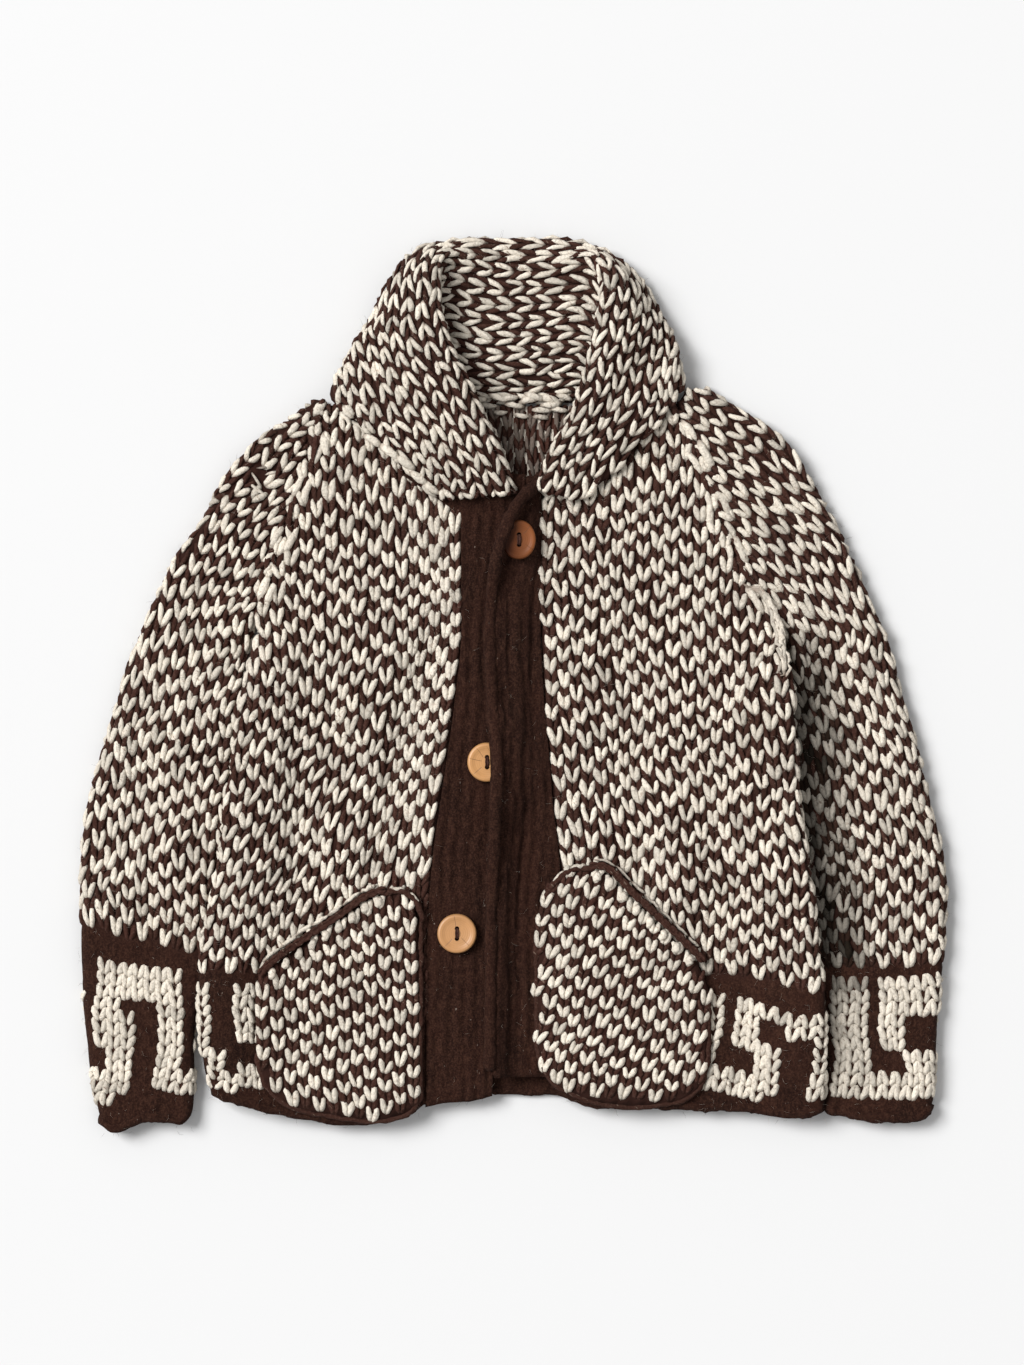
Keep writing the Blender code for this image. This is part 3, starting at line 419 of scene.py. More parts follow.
# Thick and stretched stitches of the seams, and dark gaps between them (dye below 0)
SEAM_STITCHES = table(Thick,
    # right raglan seam
    (-113, 150, -105, 158, 11.5, 2.2, 1), (-106, 141, -104, 127, 11.8, 2.4, 1),
    (-110, 142, -114, 120, 12.4, 1.5, -1), (-124, 104, -117, 119, 11.8, 1.8, 1),
    (-119, 99, -113, 116, 11.8, 1.9, 1), (-124, 105, -126, 88, 12.4, 1.5, -1),
    (-136, 75, -129, 89, 11.8, 1.9, 1), (-130, 72, -122, 86, 11.8, 2.0, 1),
    (-136, 74, -139, 62, 12.4, 1.4, -1), (-143, 46, -137, 61, 12.0, 2.3, 1),
    (-139, 44, -133, 57, 12.0, 2.1, 1), (-144, 40, -142, 29, 12.0, 1.5, 1),
    # left raglan seam
    (94, 148, 103, 136, 11.8, 1.8, 1), (103.5, 137, 112, 121, 12.2, 2.4, 1),
    (96, 132, 106, 117, 11.8, 1.9, 1), (106, 117, 110, 107, 12.4, 1.5, -1),
    (110, 105, 110, 86, 11.8, 1.9, 1), (115, 108, 122, 92, 11.8, 1.9, 1),
    (116, 90, 121, 82, 12.4, 1.6, -1), (123.5, 84, 131, 67, 12.0, 2.2, 1),
    (120, 79, 122, 69, 11.8, 1.8, 1), (126, 67, 132, 57, 12.4, 1.6, -1),
    (130, 55, 140, 39, 12.6, 2.2, 1), (137.5, 54, 146, 44, 13.0, 2.0, 1),
    # where the collar, the front and the left sleeve meet
    (88, 160, 92, 148, 12.5, 1.8, -1),
    # worn place on the right sleeve, with loose floats
    (-148, 113, -138, 105, 12.2, 0.9, 0.8), (-139, 117, -132, 119, 12.2, 0.8, 0.8),
    (-147, 119, -141, 110, 12.0, 0.8, 0.7), (-144, 121, -136, 121.5, 12.2, 0.7, 0.3),
    # neck seam
    (-9, 160, 3, 161, 7.4, 1.7, 1), (3, 158, 15, 160.5, 7.4, 1.9, 1),
    (14, 161, 27, 158, 7.6, 1.9, 1), (10, 154, 22, 153.5, 6.6, 1.6, 1),
    (-20, 157, -9, 156, 6.8, 1.5, 1), (20, 154.5, 31, 153, 7.0, 1.5, 1),
    (-14, 162.5, -4, 158.5, 8.4, 1.7, 1), (-5, 157, 6, 155.5, 7.6, 1.6, 0.95),
    (6, 163, 17, 159.5, 8.6, 1.9, 1), (15, 156.5, 27, 157.5, 7.8, 1.8, 1),
    (24, 162, 33, 159, 8.2, 1.6, 0.95), (-24, 160.5, -15, 160, 7.8, 1.6, 0.9),
    (0, 151.5, 9, 150, 6.4, 1.4, 0.8), (11, 150, 20, 149, 6.4, 1.3, 0.7),
    (-12, 152.5, -3, 152.8, 6.4, 1.3, 0.75),
    # the right lapel's free edge
    (-84, 139, -74, 132.5, 18.6, 2.2, 1), (-75, 134, -64, 125.5, 18.6, 2.2, 1),
    (-66, 127, -55, 119.5, 18.6, 2.3, 1), (-58, 119, -48, 111.5, 18.4, 2.3, 1),
    (-50, 113, -41, 106.5, 18.2, 2.1, 1))
# The left front's cream selvedge, where its raised edge leaves the sleeve, and its strands:
# how far to the side, how thick, and the seed
SELVEDGE = [(131, 55, 12.6), (139.5, 51.5, 13.6), (145.5, 41.5, 15.8), (149, 29, 19.5),
            (150.5, 16, 22.6), (151, 4, 24.6)]
SELVEDGE_STRANDS = ((0.0, 1.35, 451), (-2.3, 1.2, 452), (1.7, 0.85, 453), (-0.9, 0.7, 454))
SELVEDGE_DYE = 0.93

# ------------------------------------------------------------------ materials and stage
WOOL_SHINE = 0.12
WOOD_SHINE = 0.5
WOOL_ROUGHNESS = 0.97
WOOD_ROUGHNESS = 0.42
FLOOR_ROUGHNESS = 0.85
# Colour factors of each button's wood; the top one's lower factors are painted shade from the
# ridge over it
BUTTON_TONES_AND_SHADE = ((0.50, 0.33, 0.28), (1.14, 1.14, 1.06), (1.0, 1.0, 1.0))
# Direction, start and end of each crack, for each button
WOOD_CRACKS = (((0.9, 0.004, 0.0098), (-0.6, 0.005, 0.0095)),
               ((2.9, 0.003, 0.0098), (2.2, 0.0035, 0.0095), (-2.4, 0.004, 0.0100)),
               ((1.75, 0.003, 0.0100), (-0.75, 0.0035, 0.0095), (-2.3, 0.004, 0.0105)))
CRACK_WIDTH = 0.00016  # metres
# Tints of the marks. Several are painted shade: the ply's grooves, the strands' undersides, their
# tucked ends, the darkening towards deep (random tone, and painted shadow on the left sleeve), and
# the top button under the ridge.
TINTS = SimpleNamespace(
    fleck=(0.36, 0.24, 0.17), ply_shadow=(0.50, 0.37, 0.26), underside_shade=(0.22, 0.13, 0.09),
    tucked_end_shade=(0.16, 0.095, 0.065), dark_hair=(0.24, 0.145, 0.10), light_brown=(0.150, 0.085, 0.066),
    pale_hair=(0.34, 0.25, 0.19), deep=(0.010, 0.006, 0.003), red_streak=(0.078, 0.034, 0.021),
    red_light=(0.100, 0.047, 0.031), felt_dark=(0.006, 0.002, 0.0015), lint=(0.36, 0.29, 0.24),
    crack=(0.10, 0.045, 0.02), ridge_shadow_wood=(0.17, 0.12, 0.10))
Lamp = namedtuple("Lamp", "name place size power")
LAMPS = (Lamp("key", (-13.8, 7.2, 16.8), 10.5, 6700.0), Lamp("fill", (1.6, -0.8, 3.4), 3.0, 8.0))
ROOM_LIGHT = 0.47
FLOOR_SIZE = 60.0
FRAME_HEIGHT = 0.7644  # what the camera sees from top to bottom, at the jacket's level
FRAME_CENTRE = (-0.00084, 0.00084)
FRAME_LEVEL = 0.011
SENSOR = 36.0


def size_setting(name, about, metres):
    return bpy.props.FloatProperty(name=name, description=about, default=metres, unit="LENGTH")


def colour_setting(name, about, *shares):
    return bpy.props.FloatVectorProperty(name=name, description=about, subtype="COLOR", size=3,
                                         default=shares)


class JacketSizes(bpy.types.PropertyGroup):
    """Sizes of the knitting, in metres."""
    wale: size_setting("Wale width", "Width of one body stitch", 0.0077)
    row: size_setting("Row height", "Height of one body row", 0.0065)
    collar_wale: size_setting("Collar wale width", "Width of one stitch of the collar", 0.0090)
    collar_row: size_setting("Collar row height", "Height of one row of the collar", 0.0058)
    camera_height: size_setting("Camera height", "Height of the camera over the floor", 2.4)


class JacketColours(bpy.types.PropertyGroup):
    """Colours of the wool, the wood and the stage."""
    cream: colour_setting("Cream wool", "Undyed light wool", 0.895, 0.815, 0.695)
    brown: colour_setting("Brown wool", "Dark wool of the checks", 0.056, 0.0215, 0.0150)
    felted: colour_setting("Felted brown", "Dark wool of the bands and rims",
                           0.024, 0.0082, 0.0050)
    wood: colour_setting("Button wood", "Pale turned wood", 0.45, 0.225, 0.088)
    floor: colour_setting("Floor", "Plain pale floor", 0.675, 0.675, 0.675)


# ------------------------------------------------------------------ curves and levels

def mix(a, b, t):
    return a + (b - a) * t


def smooth(t):
    t = min(1.0, max(0.0, t))
    return t * t * (3 - 2 * t)


def fade(values, start, end):
    """0 before start and 1 from end on, over an array."""
    return np.clip((values - start) / (end - start), 0, 1)


def column(rows, key, value):
    """A curve through one column of a table: smooth, and never past its own rows."""
    points = sorted((getattr(row, key), getattr(row, value)) for row in rows)
    slopes = [(b[1] - a[1]) / (b[0] - a[0]) for a, b in zip(points, points[1:])]
    tangents = [slopes[0]]
    for before, after in zip(slopes, slopes[1:]):
        tangents.append(0.0 if before * after <= 0 else 2 * before * after / (before + after))
    tangents.append(slopes[-1])

    def at(where):
        where = min(points[-1][0], max(points[0][0], where))
        k = 0
        while k < len(slopes) - 1 and where > points[k + 1][0]:
            k += 1
        (x0, v0), (x1, v1) = points[k], points[k + 1]
        run = x1 - x0
        t = (where - x0) / run
        return ((1 + 2 * t) * (1 - t) ** 2 * v0 + t * (1 - t) ** 2 * run * tangents[k]
                + t * t * (3 - 2 * t) * v1 + t * t * (t - 1) * run * tangents[k + 1])

    return at


def by_side(rows, key="y", suffix=""):
    return {side: column(rows, key, side + suffix) for side in SIDES}


def over(curve, values, stations=160):
    """A curve read at an array of places, through a fine table of it."""
    fine = np.linspace(float(values.min()), float(values.max()), stations)
    return np.interp(values, fine, [curve(s) for s in fine])


body_edge = by_side(BODY_EDGES)
sleeve_tuck = by_side(SLEEVE_TUCK)
sleeve_outer = by_side(SLEEVE_OUTER)
front_inner = by_side(FRONT_INNER)
band_free = by_side(BAND_FREE)
sleeve_wale = by_side(SLEEVE_WALES)
course_slope = by_side(SLEEVE_WALES, suffix="_slope")
pocket_top = {side: column(POCKETS[side], "x", "top") for side in SIDES}
pocket_bottom = {side: column(POCKETS[side], "x", "bottom") for side in SIDES}
hem_line = column(HEM_LINE, "x", "y")


def back_hem_line(x):
    return hem_line(x) + BACK_HEM_SHORT


def sleeve_inner(side, y):
    if y > NECK_Y:
        return COLLAR_SIDE_X if side == "left" else body_edge[side](NECK_Y)
    if y >= ARMPIT_Y:
        return body_edge[side](y)
    return body_edge[side](y) - OUTWARD[side] * sleeve_tuck[side](y)


def from_side_edge(x, y):
    return min(x - body_edge["right"](y), body_edge["left"](y) - x)


def crease(creases, x, y):
    height = 0.0
    for c in creases:
        run_x, run_y = c.x1 - c.x0, c.y1 - c.y0
        along = ((x - c.x0) * run_x + (y - c.y0) * run_y) / (run_x ** 2 + run_y ** 2)
        along = min(1.0, max(0.0, along))
        distance = math.hypot(x - c.x0 - run_x * along, y - c.y0 - run_y * along)
        height += c.height * math.exp(-(distance / c.width) ** 2)
    return height


def lift(x, y):
    """How far the body is raised where its side edge lies on a sleeve."""
    along = smooth((ARMPIT_Y - y) / LIFT_RUN) * mix(
        1.0, LIFT_AT_HEM, smooth((LIFT_FADE_Y - y) / LIFT_FADE_RUN))
    return LIFT * along * (1 - smooth((from_side_edge(x, y) - LIFT_REACH) / LIFT_SLOPE))


def back_level(x, y):
    return WALL / 2 + lift(x, y)


def front_level(x, y):
    return back_level(x, y) + LEVEL + crease(FRONT_CREASES, x, y) * smooth(
        (from_side_edge(x, y) - FRONT_CREASE_MARGIN) / FRONT_CREASE_FADE)


def resting_level(x, y, reach=REST_REACH):
    around = ((0, 0), (reach, 0), (-reach, 0), (0, reach), (0, -reach))
    return max(front_level(x + dx, y + dy) for dx, dy in around) + WALL / 2 + CLEAR


def sleeve_level(x, y, side):
    inward = min(abs(x - sleeve_inner(side, y)), abs(sleeve_outer[side](y) - x))
    return WALL / 2 + LEVEL + crease(SLEEVE_CREASES, x, y) * smooth(
        (inward - SLEEVE_CREASE_MARGIN) / SLEEVE_CREASE_FADE)


def band_level(x, y, side):
    """The left band steps up where it lies on the right one and over the hidden button."""
    level = front_level(x, y)
    if side == "right":
        return level
    under = band_free["right"](y) + OVERLAP_MARGIN
    run = min(OVERLAP_SLOPE, front_inner["left"](y) - under - OVERLAP_SEAM_GAP)
    level += (WALL + CLEAR) * (1 - smooth((x - under) / run))
    near_button = math.hypot(x - BUTTON_MIDDLE.x, y - BUTTON_MIDDLE.y)
    level += (BUTTON_THICK + CLEAR) * (
        1 - smooth((near_button - HIDDEN_BUTTON_REACH) / HIDDEN_BUTTON_SLOPE))
    from_edge = (x - band_free["left"](y)) / RIDGE_WIDTH
    beside_top_button = smooth((abs(y - BUTTON_TOP.y) - RIDGE_FLAT_REACH) / RIDGE_FLAT_SLOPE)
    if 0 < from_edge < 1:
        level += RIDGE_HEIGHT * math.sin(math.pi * from_edge) * beside_top_button
    return level


def closing(y):
    """0 where body and sleeve are one, 1 where each is a closed tube."""
    return smooth((ARMPIT_Y - y) / (ARMPIT_Y - CLOSED_Y))


def row_to_hem(y, x, hem):
    """Lower rows bend until the last one is the hem's own line."""
    if y >= HEM_START_Y:
        return y
    return y + (hem(x) - HEM_Y) * (HEM_START_Y - y) / (HEM_START_Y - HEM_Y)


def band_row(side, x, y):
    """The right band's lower rows bend until the last one is its end's own line."""
    if side == "left" or y > BAND_BEND_Y:
        return y
    share = (BAND_BEND_Y - y) / (BAND_BEND_Y - BAND_END[side])
    return y + (np.interp(x, *zip(*BAND_END_LINE)) - BAND_END[side]) * share


def turned_edge(edge, inward, level, other, closed, steps=5):
    """Middle points from a tube's side seam to where its wall runs level. Where body and
    sleeve are one there is a single point."""
    if closed == 0:
        return [(edge + inward * SEAM / 2, level)]
    radius = abs(level - other) / 2
    up = 1 if level > other else -1
    start = SEAM / (2 * radius)
    points = []
    for k in range(steps + 1):
        angle = mix(start, math.pi / 2, k / steps)
        turned_x = WALL / 2 + radius * (1 - math.cos(angle))
        turned_z = (level + other) / 2 + up * radius * math.sin(angle)
        level_x = SEAM / 2 + (WALL / 2 + radius) * k / steps
        points.append((edge + inward * mix(level_x, turned_x, closed),
                       mix(level, turned_z, closed)))
    return points


def fold_points(point, before, after, radius, low_before, drop):
    """Three middle points round a fold: the strip comes from before and goes on to after."""
    to_before = (before.xy - point.xy).normalized()
    to_after = (after.xy - point.xy).normalized()
    tip = point.xy + (to_before + to_after) / 2 * (WALL / 2)
    high, low = point.z, point.z - drop
    z_before, z_after = (low, high) if low_before else (high, low)
    first, last = tip + to_before * radius, tip + to_after * radius
    return [Vector((*first, z_before)), Vector((*tip, (high + low) / 2)), Vector((*last, z_after))]


def spline_point(points, k, t):
    """A point between points k and k + 1 of a smooth curve through them all."""
    a, b = points[k], points[k + 1]
    before = points[k - 1] if k > 0 else a * 2 - b
    after = points[k + 2] if k + 2 < len(points) else b * 2 - a
    span = (b - a).length

    def tangent(p, q, r):
        one, two = (q - p).length, (r - q).length
        return ((q - p) / one * two + (r - q) / two * one) / (one + two) * span

    start, end = tangent(before, a, b), tangent(a, b, after)
    return (a * (1 + 2 * t) * (1 - t) ** 2 + start * t * (1 - t) ** 2
            + b * t * t * (3 - 2 * t) + end * t * t * (t - 1))


def rounded(line, steps):
    """A smooth line through the points of a rough one."""
    points = [Vector(p) for p in line]
    fine = [tuple(spline_point(points, k, step / steps))
            for k in range(len(points) - 1) for step in range(steps)]
    return fine + [tuple(points[-1])]


def wander(x, y, size, seed, waves=5):
    """A soft uneven wave over a surface, about -1 to 1."""
    draw = np.random.default_rng(seed)
    total = 0.0
    for _ in range(waves):
        heading, phase = draw.uniform(0, math.tau, 2)
        pace = draw.uniform(0.6, 1.5) * math.tau / size
        total = total + np.sin((x * math.cos(heading) + y * math.sin(heading)) * pace + phase)
    return total / 3


def uneven_knit(across, up, seed):
    """Where hand knitting puts a stitch that was meant for a place."""
    moved_across, moved_up = across, up
    for k, (height, length) in enumerate(WAVES_ACROSS):
        moved_across = moved_across + height * wander(across, up, length, seed + 2 * k)
    for k, (height, length) in enumerate(WAVES_UP):
        moved_up = moved_up + height * wander(across, up, length, seed + 1 + 2 * k)
    return moved_across, moved_up


def steps_of(line):
    return np.linalg.norm(np.diff(line, axis=0), axis=1)


def run_along(line):
    """How far along a line each of its points lies."""
    return np.concatenate([[0], np.cumsum(steps_of(line))])


def place_along(line, count):
    """Evenly spaced points along a line."""
    line = np.asarray(line, float)
    run = run_along(line)
    at = np.linspace(0, run[-1], count)
    return np.stack([np.interp(at, run, line[:, axis]) for axis in range(3)], -1)


def unit(vectors):
    return vectors / np.maximum(np.linalg.norm(vectors, axis=-1, keepdims=True), TINY)


def from_ends(count):
    """How many points lie between each point of a line and its nearer end."""
    return np.minimum(np.arange(count), np.arange(count)[::-1])


# ------------------------------------------------------------------ fabrics

class Fabric:
    """A layer's middle surface, unrolled: across runs along its sections, up from row to row."""

    def __init__(self, ups, sections, starts, direction, facing=1, edge_waves=None):
        self.ups = np.asarray(ups, float)
        self.edge_waves = edge_waves
        runs = [run_along(line) for line in sections]
        ends = [sorted((start, start + direction * run[-1])) for start, run in zip(starts, runs)]
        self.low, self.high = np.array(ends).T
        self.first = self.low.min() - FABRIC_MARGIN
        across = np.arange(self.first, self.high.max() + FABRIC_MARGIN, FABRIC_STEP)
        self.points = np.empty((len(sections), len(across), 3))
        for r, (line, start, run) in enumerate(zip(sections, starts, runs)):
            line = np.asarray(line, float)
            out = [o / np.linalg.norm(o) * FABRIC_MARGIN
                   for o in (line[0] - line[1], line[-1] - line[-2])]
            line = np.vstack([line[0] + out[0], line, line[-1] + out[1]])
            run = np.concatenate([[-FABRIC_MARGIN], run, [run[-1] + FABRIC_MARGIN]])
            wanted = (across - start) * direction
            for axis in range(3):
                self.points[r, :, axis] = np.interp(wanted, run, line[:, axis])
        along_x, along_y = np.gradient(self.points, axis=1), np.gradient(self.points, axis=0)
        self.normals = unit(np.cross(along_x, along_y) * facing)

    def at(self, across, up, height=0.0):
        """Points and normals at arrays of places, some height over the middle surface."""
        rows, columns = self.points.shape[:2]
        inside = 1.001     # the last cell ends just before the grid does
        c = np.clip((across - self.first) / FABRIC_STEP, 0, columns - inside)
        r = np.clip(np.interp(up, self.ups, np.arange(rows)), 0, rows - inside)
        c0, r0 = c.astype(int), r.astype(int)
        fc, fr = (c - c0)[..., None], (r - r0)[..., None]

        def blend(grid):
            return ((grid[r0, c0] * (1 - fc) + grid[r0, c0 + 1] * fc) * (1 - fr)
                    + (grid[r0 + 1, c0] * (1 - fc) + grid[r0 + 1, c0 + 1] * fc) * fr)

        normals = unit(blend(self.normals))
        return blend(self.points) + normals * np.asarray(height)[..., None], normals

    def ends(self, up):
        return np.interp(up, self.ups, self.low), np.interp(up, self.ups, self.high)

    def middle_steps(self):
        return steps_of(self.at((self.low + self.high) / 2, self.ups)[0])

    def area(self):
        """Area of the middle surface within its edges, in square metres."""
        widths = self.high - self.low
        return float(((widths[1:] + widths[:-1]) / 2 * self.middle_steps()).sum()) * MM * MM


def spread(first, last, step):
    """Places from first to last, no further apart than step."""
    return np.linspace(first, last, max(2, int(abs(last - first) / step) + 2))


def front_fabric(side, step=4.0):
    outward = OUTWARD[side]
    ups = np.arange(HEM_Y, NECK_Y + 0.1, FABRIC_RISE)
    sections, starts = [], []
    for y in ups:
        edge, inner = body_edge[side](y), front_inner[side](y) + outward * SEAM / 2
        low = back_level(edge, y)
        turn = turned_edge(edge, -outward, low + LEVEL, low, closing(y))[::-1]
        xs = spread(inner, turn[0][0], step)[:-1]
        line = [(x, front_level(x, y)) for x in xs] + turn
        sections.append([(x, row_to_hem(y, x, hem_line), z) for x, z in line])
        starts.append(inner)
    return Fabric(ups, sections, starts, outward)


def back_fabric(step=5.0):
    ups = np.arange(HEM_Y, NECK_Y + 0.1, FABRIC_RISE)
    sections, starts = [], []
    for y in ups:
        turns = []
        for side in SIDES:
            edge = body_edge[side](y)
            low = back_level(edge, y)
            turns.append(turned_edge(edge, -OUTWARD[side], low, low + LEVEL, closing(y)))
        right, left = turns
        xs = np.concatenate([spread(right[-1][0], 0.0, step)[1:],
                             spread(0.0, left[-1][0], step)[1:-1]])
        line = right + [(x, back_level(x, y)) for x in xs] + left[::-1]
        points = np.array([(x, row_to_hem(y, x, back_hem_line), z) for x, z in line])
        sections.append(points)
        starts.append(-np.interp(0.0, points[:, 0], run_along(points)))
    return Fabric(ups, sections, starts, 1, facing=-1)


def sleeve_fabric(side, step=4.0, fold_steps=10, narrow=12.0, least_run=1.0):
    """The whole sleeve, from its underarm seam over its top and round to the seam again."""
    outward = OUTWARD[side]
    ups = np.arange(CUFF_Y[side], SLEEVE_TOP_Y[side] + 0.1, FABRIC_RISE)
    low = WALL / 2
    high = low + LEVEL
    sections, starts = [], []
    for y in ups:
        inner = sleeve_inner(side, y)
        centre = sleeve_outer[side](y) - outward * (WALL + LEVEL) / 2
        closed = 0 if abs(centre - inner) < narrow else closing(y)
        upper = turned_edge(inner, outward, high, low, closed)
        under = turned_edge(inner, outward, low, high, closed)
        if (centre - upper[-1][0]) * outward < least_run:
            centre = upper[-1][0] + outward * least_run
        between = spread(upper[-1][0], centre, step)[1:-1]
        top = upper + [(x, sleeve_level(x, y, side)) for x in between]
        angles = [math.pi * k / fold_steps for k in range(fold_steps + 1)]
        fold = [(centre + outward * math.sin(angle) * LEVEL / 2,
                 low + LEVEL / 2 * (1 + math.cos(angle))) for angle in angles]
        bottom = [(x, low) for x in reversed(between)] + under[::-1]
        sections.append([(x, y, z) for x, z in top + fold + bottom])
        starts.append(upper[-1][0] - outward * steps_of(upper).sum())
    return Fabric(ups, sections, starts, outward, edge_waves=CUFF_WAVES[side])


def band_fabric(side, step=1.5):
    towards_free = -OUTWARD[side]
    ups = np.arange(BAND_END[side], BAND_TOP_Y + BAND_TAB, FABRIC_RISE)
    sections, starts = [], []
    for y in ups:
        held_y = min(y, BAND_TOP_Y)
        seam = front_inner[side](held_y) + towards_free * SEAM / 2
        free = band_free[side](held_y)
        tab = 0.0
        if side == "right":
            tab = smooth((y - TAB_START_Y) / TAB_RUN) * TAB_RISE
            seam -= max(0.0, y - TAB_START_Y) * TAB_SPREAD
        else:
            rounding = smooth((BAND_END[side] + BAND_ROUNDING - y) / BAND_ROUNDING)
            free -= towards_free * rounding * BAND_ROUNDING_DEPTH
        sections.append([(x, band_row(side, x, y), band_level(x, held_y, side) + tab)
                         for x in spread(seam, free, step)])
        starts.append(seam)
    return Fabric(ups, sections, starts, towards_free)


def pocket_span(side):
    return POCKETS[side][0].x, POCKETS[side][-1].x


def pocket_inset(side, x, y):
    """How far a place lies inside a pocket's outline."""
    first, last = pocket_span(side)
    return min(pocket_top[side](x) - y, y - pocket_bottom[side](x), x - first, last - x)


def pocket_fabric(side, step=3.0):
    """Level rows over the whole of a pocket and a little beyond."""
    first, last = pocket_span(side)
    ups = np.arange(POCKET_LOW_Y, POCKET_HIGH_Y, FABRIC_RISE)
    sections = []
    for y in ups:
        line = []
        for x in spread(first - POCKET_MARGIN, last + POCKET_MARGIN, step):
            inset = pocket_inset(side, x, y)
            puff = POCKET_PUFF * smooth(inset / POCKET_PUFF_REACH) - POCKET_DROP * (
                1 - smooth((inset + POCKET_DROP_MARGIN) / POCKET_DROP_REACH))
            line.append((x, y, resting_level(x, y) + WALL / 2 + puff))
        sections.append(line)
    return Fabric(ups, sections, [first - POCKET_MARGIN] * len(ups), 1)


def collar_fabric():
    """Along runs from the right front over the neck to the left front; 0 across is the roll."""
    guides = [[Vector(getattr(row, name)) for row in COLLAR_ROWS] for name in Collar._fields[:-1]]
    rows, along = [], [0.0]
    for k in range(len(COLLAR_ROWS) - 1):
        for t in (step / COLLAR_STATIONS for step in range(COLLAR_STATIONS)):
            rows.append(Collar(*[spline_point(guide, k, t) for guide in guides],
                               mix(COLLAR_ROWS[k].stand_z, COLLAR_ROWS[k + 1].stand_z, t)))
    rows.append(Collar(*[guide[-1] for guide in guides], COLLAR_ROWS[-1].stand_z))
    for before, after in zip(rows, rows[1:]):
        stretched = mix(1.0, NECK_STRETCH, smooth(
            (after.roll.y - NECK_STRETCH_Y) / NECK_STRETCH_RUN))
        along.append(along[-1] + ((after.roll - before.roll).length * 0.5
                                  + (after.turn - before.turn).length * 0.5) * stretched)
    sections, starts = [], []
    for row in rows:
        line, roll_at = collar_line(row)
        line = np.array([(p.x, p.y, max(p.z, WALL / 2)) for p in line])
        sections.append(line)
        starts.append(-run_along(line)[roll_at])
    return Fabric(along, sections, starts, 1, facing=-1)


def collar_line(row, cells=(3, 8, 4, 4, 8, 4, 4, 8)):
    """The strip's middle line from its seam, over the roll and the turn, to its free edge."""
    seam, roll, turn, free = row.seam, row.roll, row.turn, row.free
    to_seam, to_turn = (seam.xy - roll.xy).normalized(), (turn.xy - roll.xy).normalized()
    folded = (1 + to_seam.dot(to_turn)) / 2
    over_roll = fold_points(roll, seam, turn, ROLL_RADIUS, True, 2 * ROLL_RADIUS * folded)
    under = smooth((FALL_OVER_Z - free.z) / FALL_UNDER_RUN)
    over_turn = fold_points(turn, roll, free, TURN_RADIUS, False, (turn.z - free.z) * under)
    stand = seam + (roll - seam).normalized() * STAND_RUN
    stand.z = row.stand_z
    controls = [seam, stand] + over_roll + over_turn + [free]
    line = []
    for k, count in enumerate(cells):
        line += [spline_point(controls, k, step / count) for step in range(count)]
    return line + [controls[-1]], sum(cells[:3])


# ------------------------------------------------------------------ meshes

def deselect():
    for piece in bpy.data.objects:
        piece.select_set(False)


def settle(piece, slot, *nodes):
    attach(piece, "root")
    if nodes:
        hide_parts(*nodes)
    return piece


def raw_mesh(name, points, quads, material, caps=None, corner_uv=None, layers=None):
    """A mesh from arrays, in millimetres: quads, and end caps of one size."""
    quads = np.asarray(quads, np.int32).reshape(-1, 4)
    corners, starts = [quads.ravel()], [np.arange(len(quads)) * 4]
    if caps is not None:
        caps = np.asarray(caps, np.int32)
        starts.append(len(quads) * 4 + np.arange(len(caps)) * caps.shape[1])
        corners.append(caps.ravel())
    corners, starts = np.concatenate(corners), np.concatenate(starts)
    mesh = bpy.data.meshes.new(name)
    mesh.vertices.add(len(points))
    mesh.vertices.foreach_set("co", (points * MM).astype(np.float32).ravel())
    mesh.loops.add(len(corners))
    mesh.loops.foreach_set("vertex_index", corners)
    mesh.polygons.add(len(starts))
    mesh.polygons.foreach_set("loop_start", starts.astype(np.int32))
    if corner_uv is not None:
        uv = np.zeros((len(corners), 2), np.float32)
        uv[:len(corner_uv)] = corner_uv
        mesh.uv_layers.new(name="Yarn").data.foreach_set("uv", uv.ravel())
    for layer, values in (layers or {}).items():
        mesh.attributes.new(layer, "FLOAT", "POINT").data.foreach_set(
            "value", values.astype(np.float32))
    mesh.update(calc_edges=True)
    mesh.validate()
    mesh.shade_smooth()
    mesh.materials.append(material)
    piece = bpy.data.objects.new(name, mesh)
    bpy.context.scene.collection.objects.link(piece)
    return piece


def over_floor(points):
    points[:, 2] = np.maximum(points[:, 2], FLOOR_GAP)
    return points


# each strand's tone also carries painted shadow, on the left sleeve beside the front's raised edge
Yarns = namedtuple("Yarns", "lines normals widths depths dye tone")


def join_yarns(parts):
    return Yarns(*(np.concatenate([getattr(part, field) for part in parts])
                   for field in Yarns._fields))


def one_yarn(points, normals, fat, depth, dye=0.0, tone=0.0):
    return Yarns(points[None], normals[None], fat[None], depth[None], np.array([dye]),
                 np.array([tone]))


def upward(points):
    """Normals that point straight up."""
    return np.broadcast_to(np.array([0.0, 0.0, 1.0]), points.shape).copy()


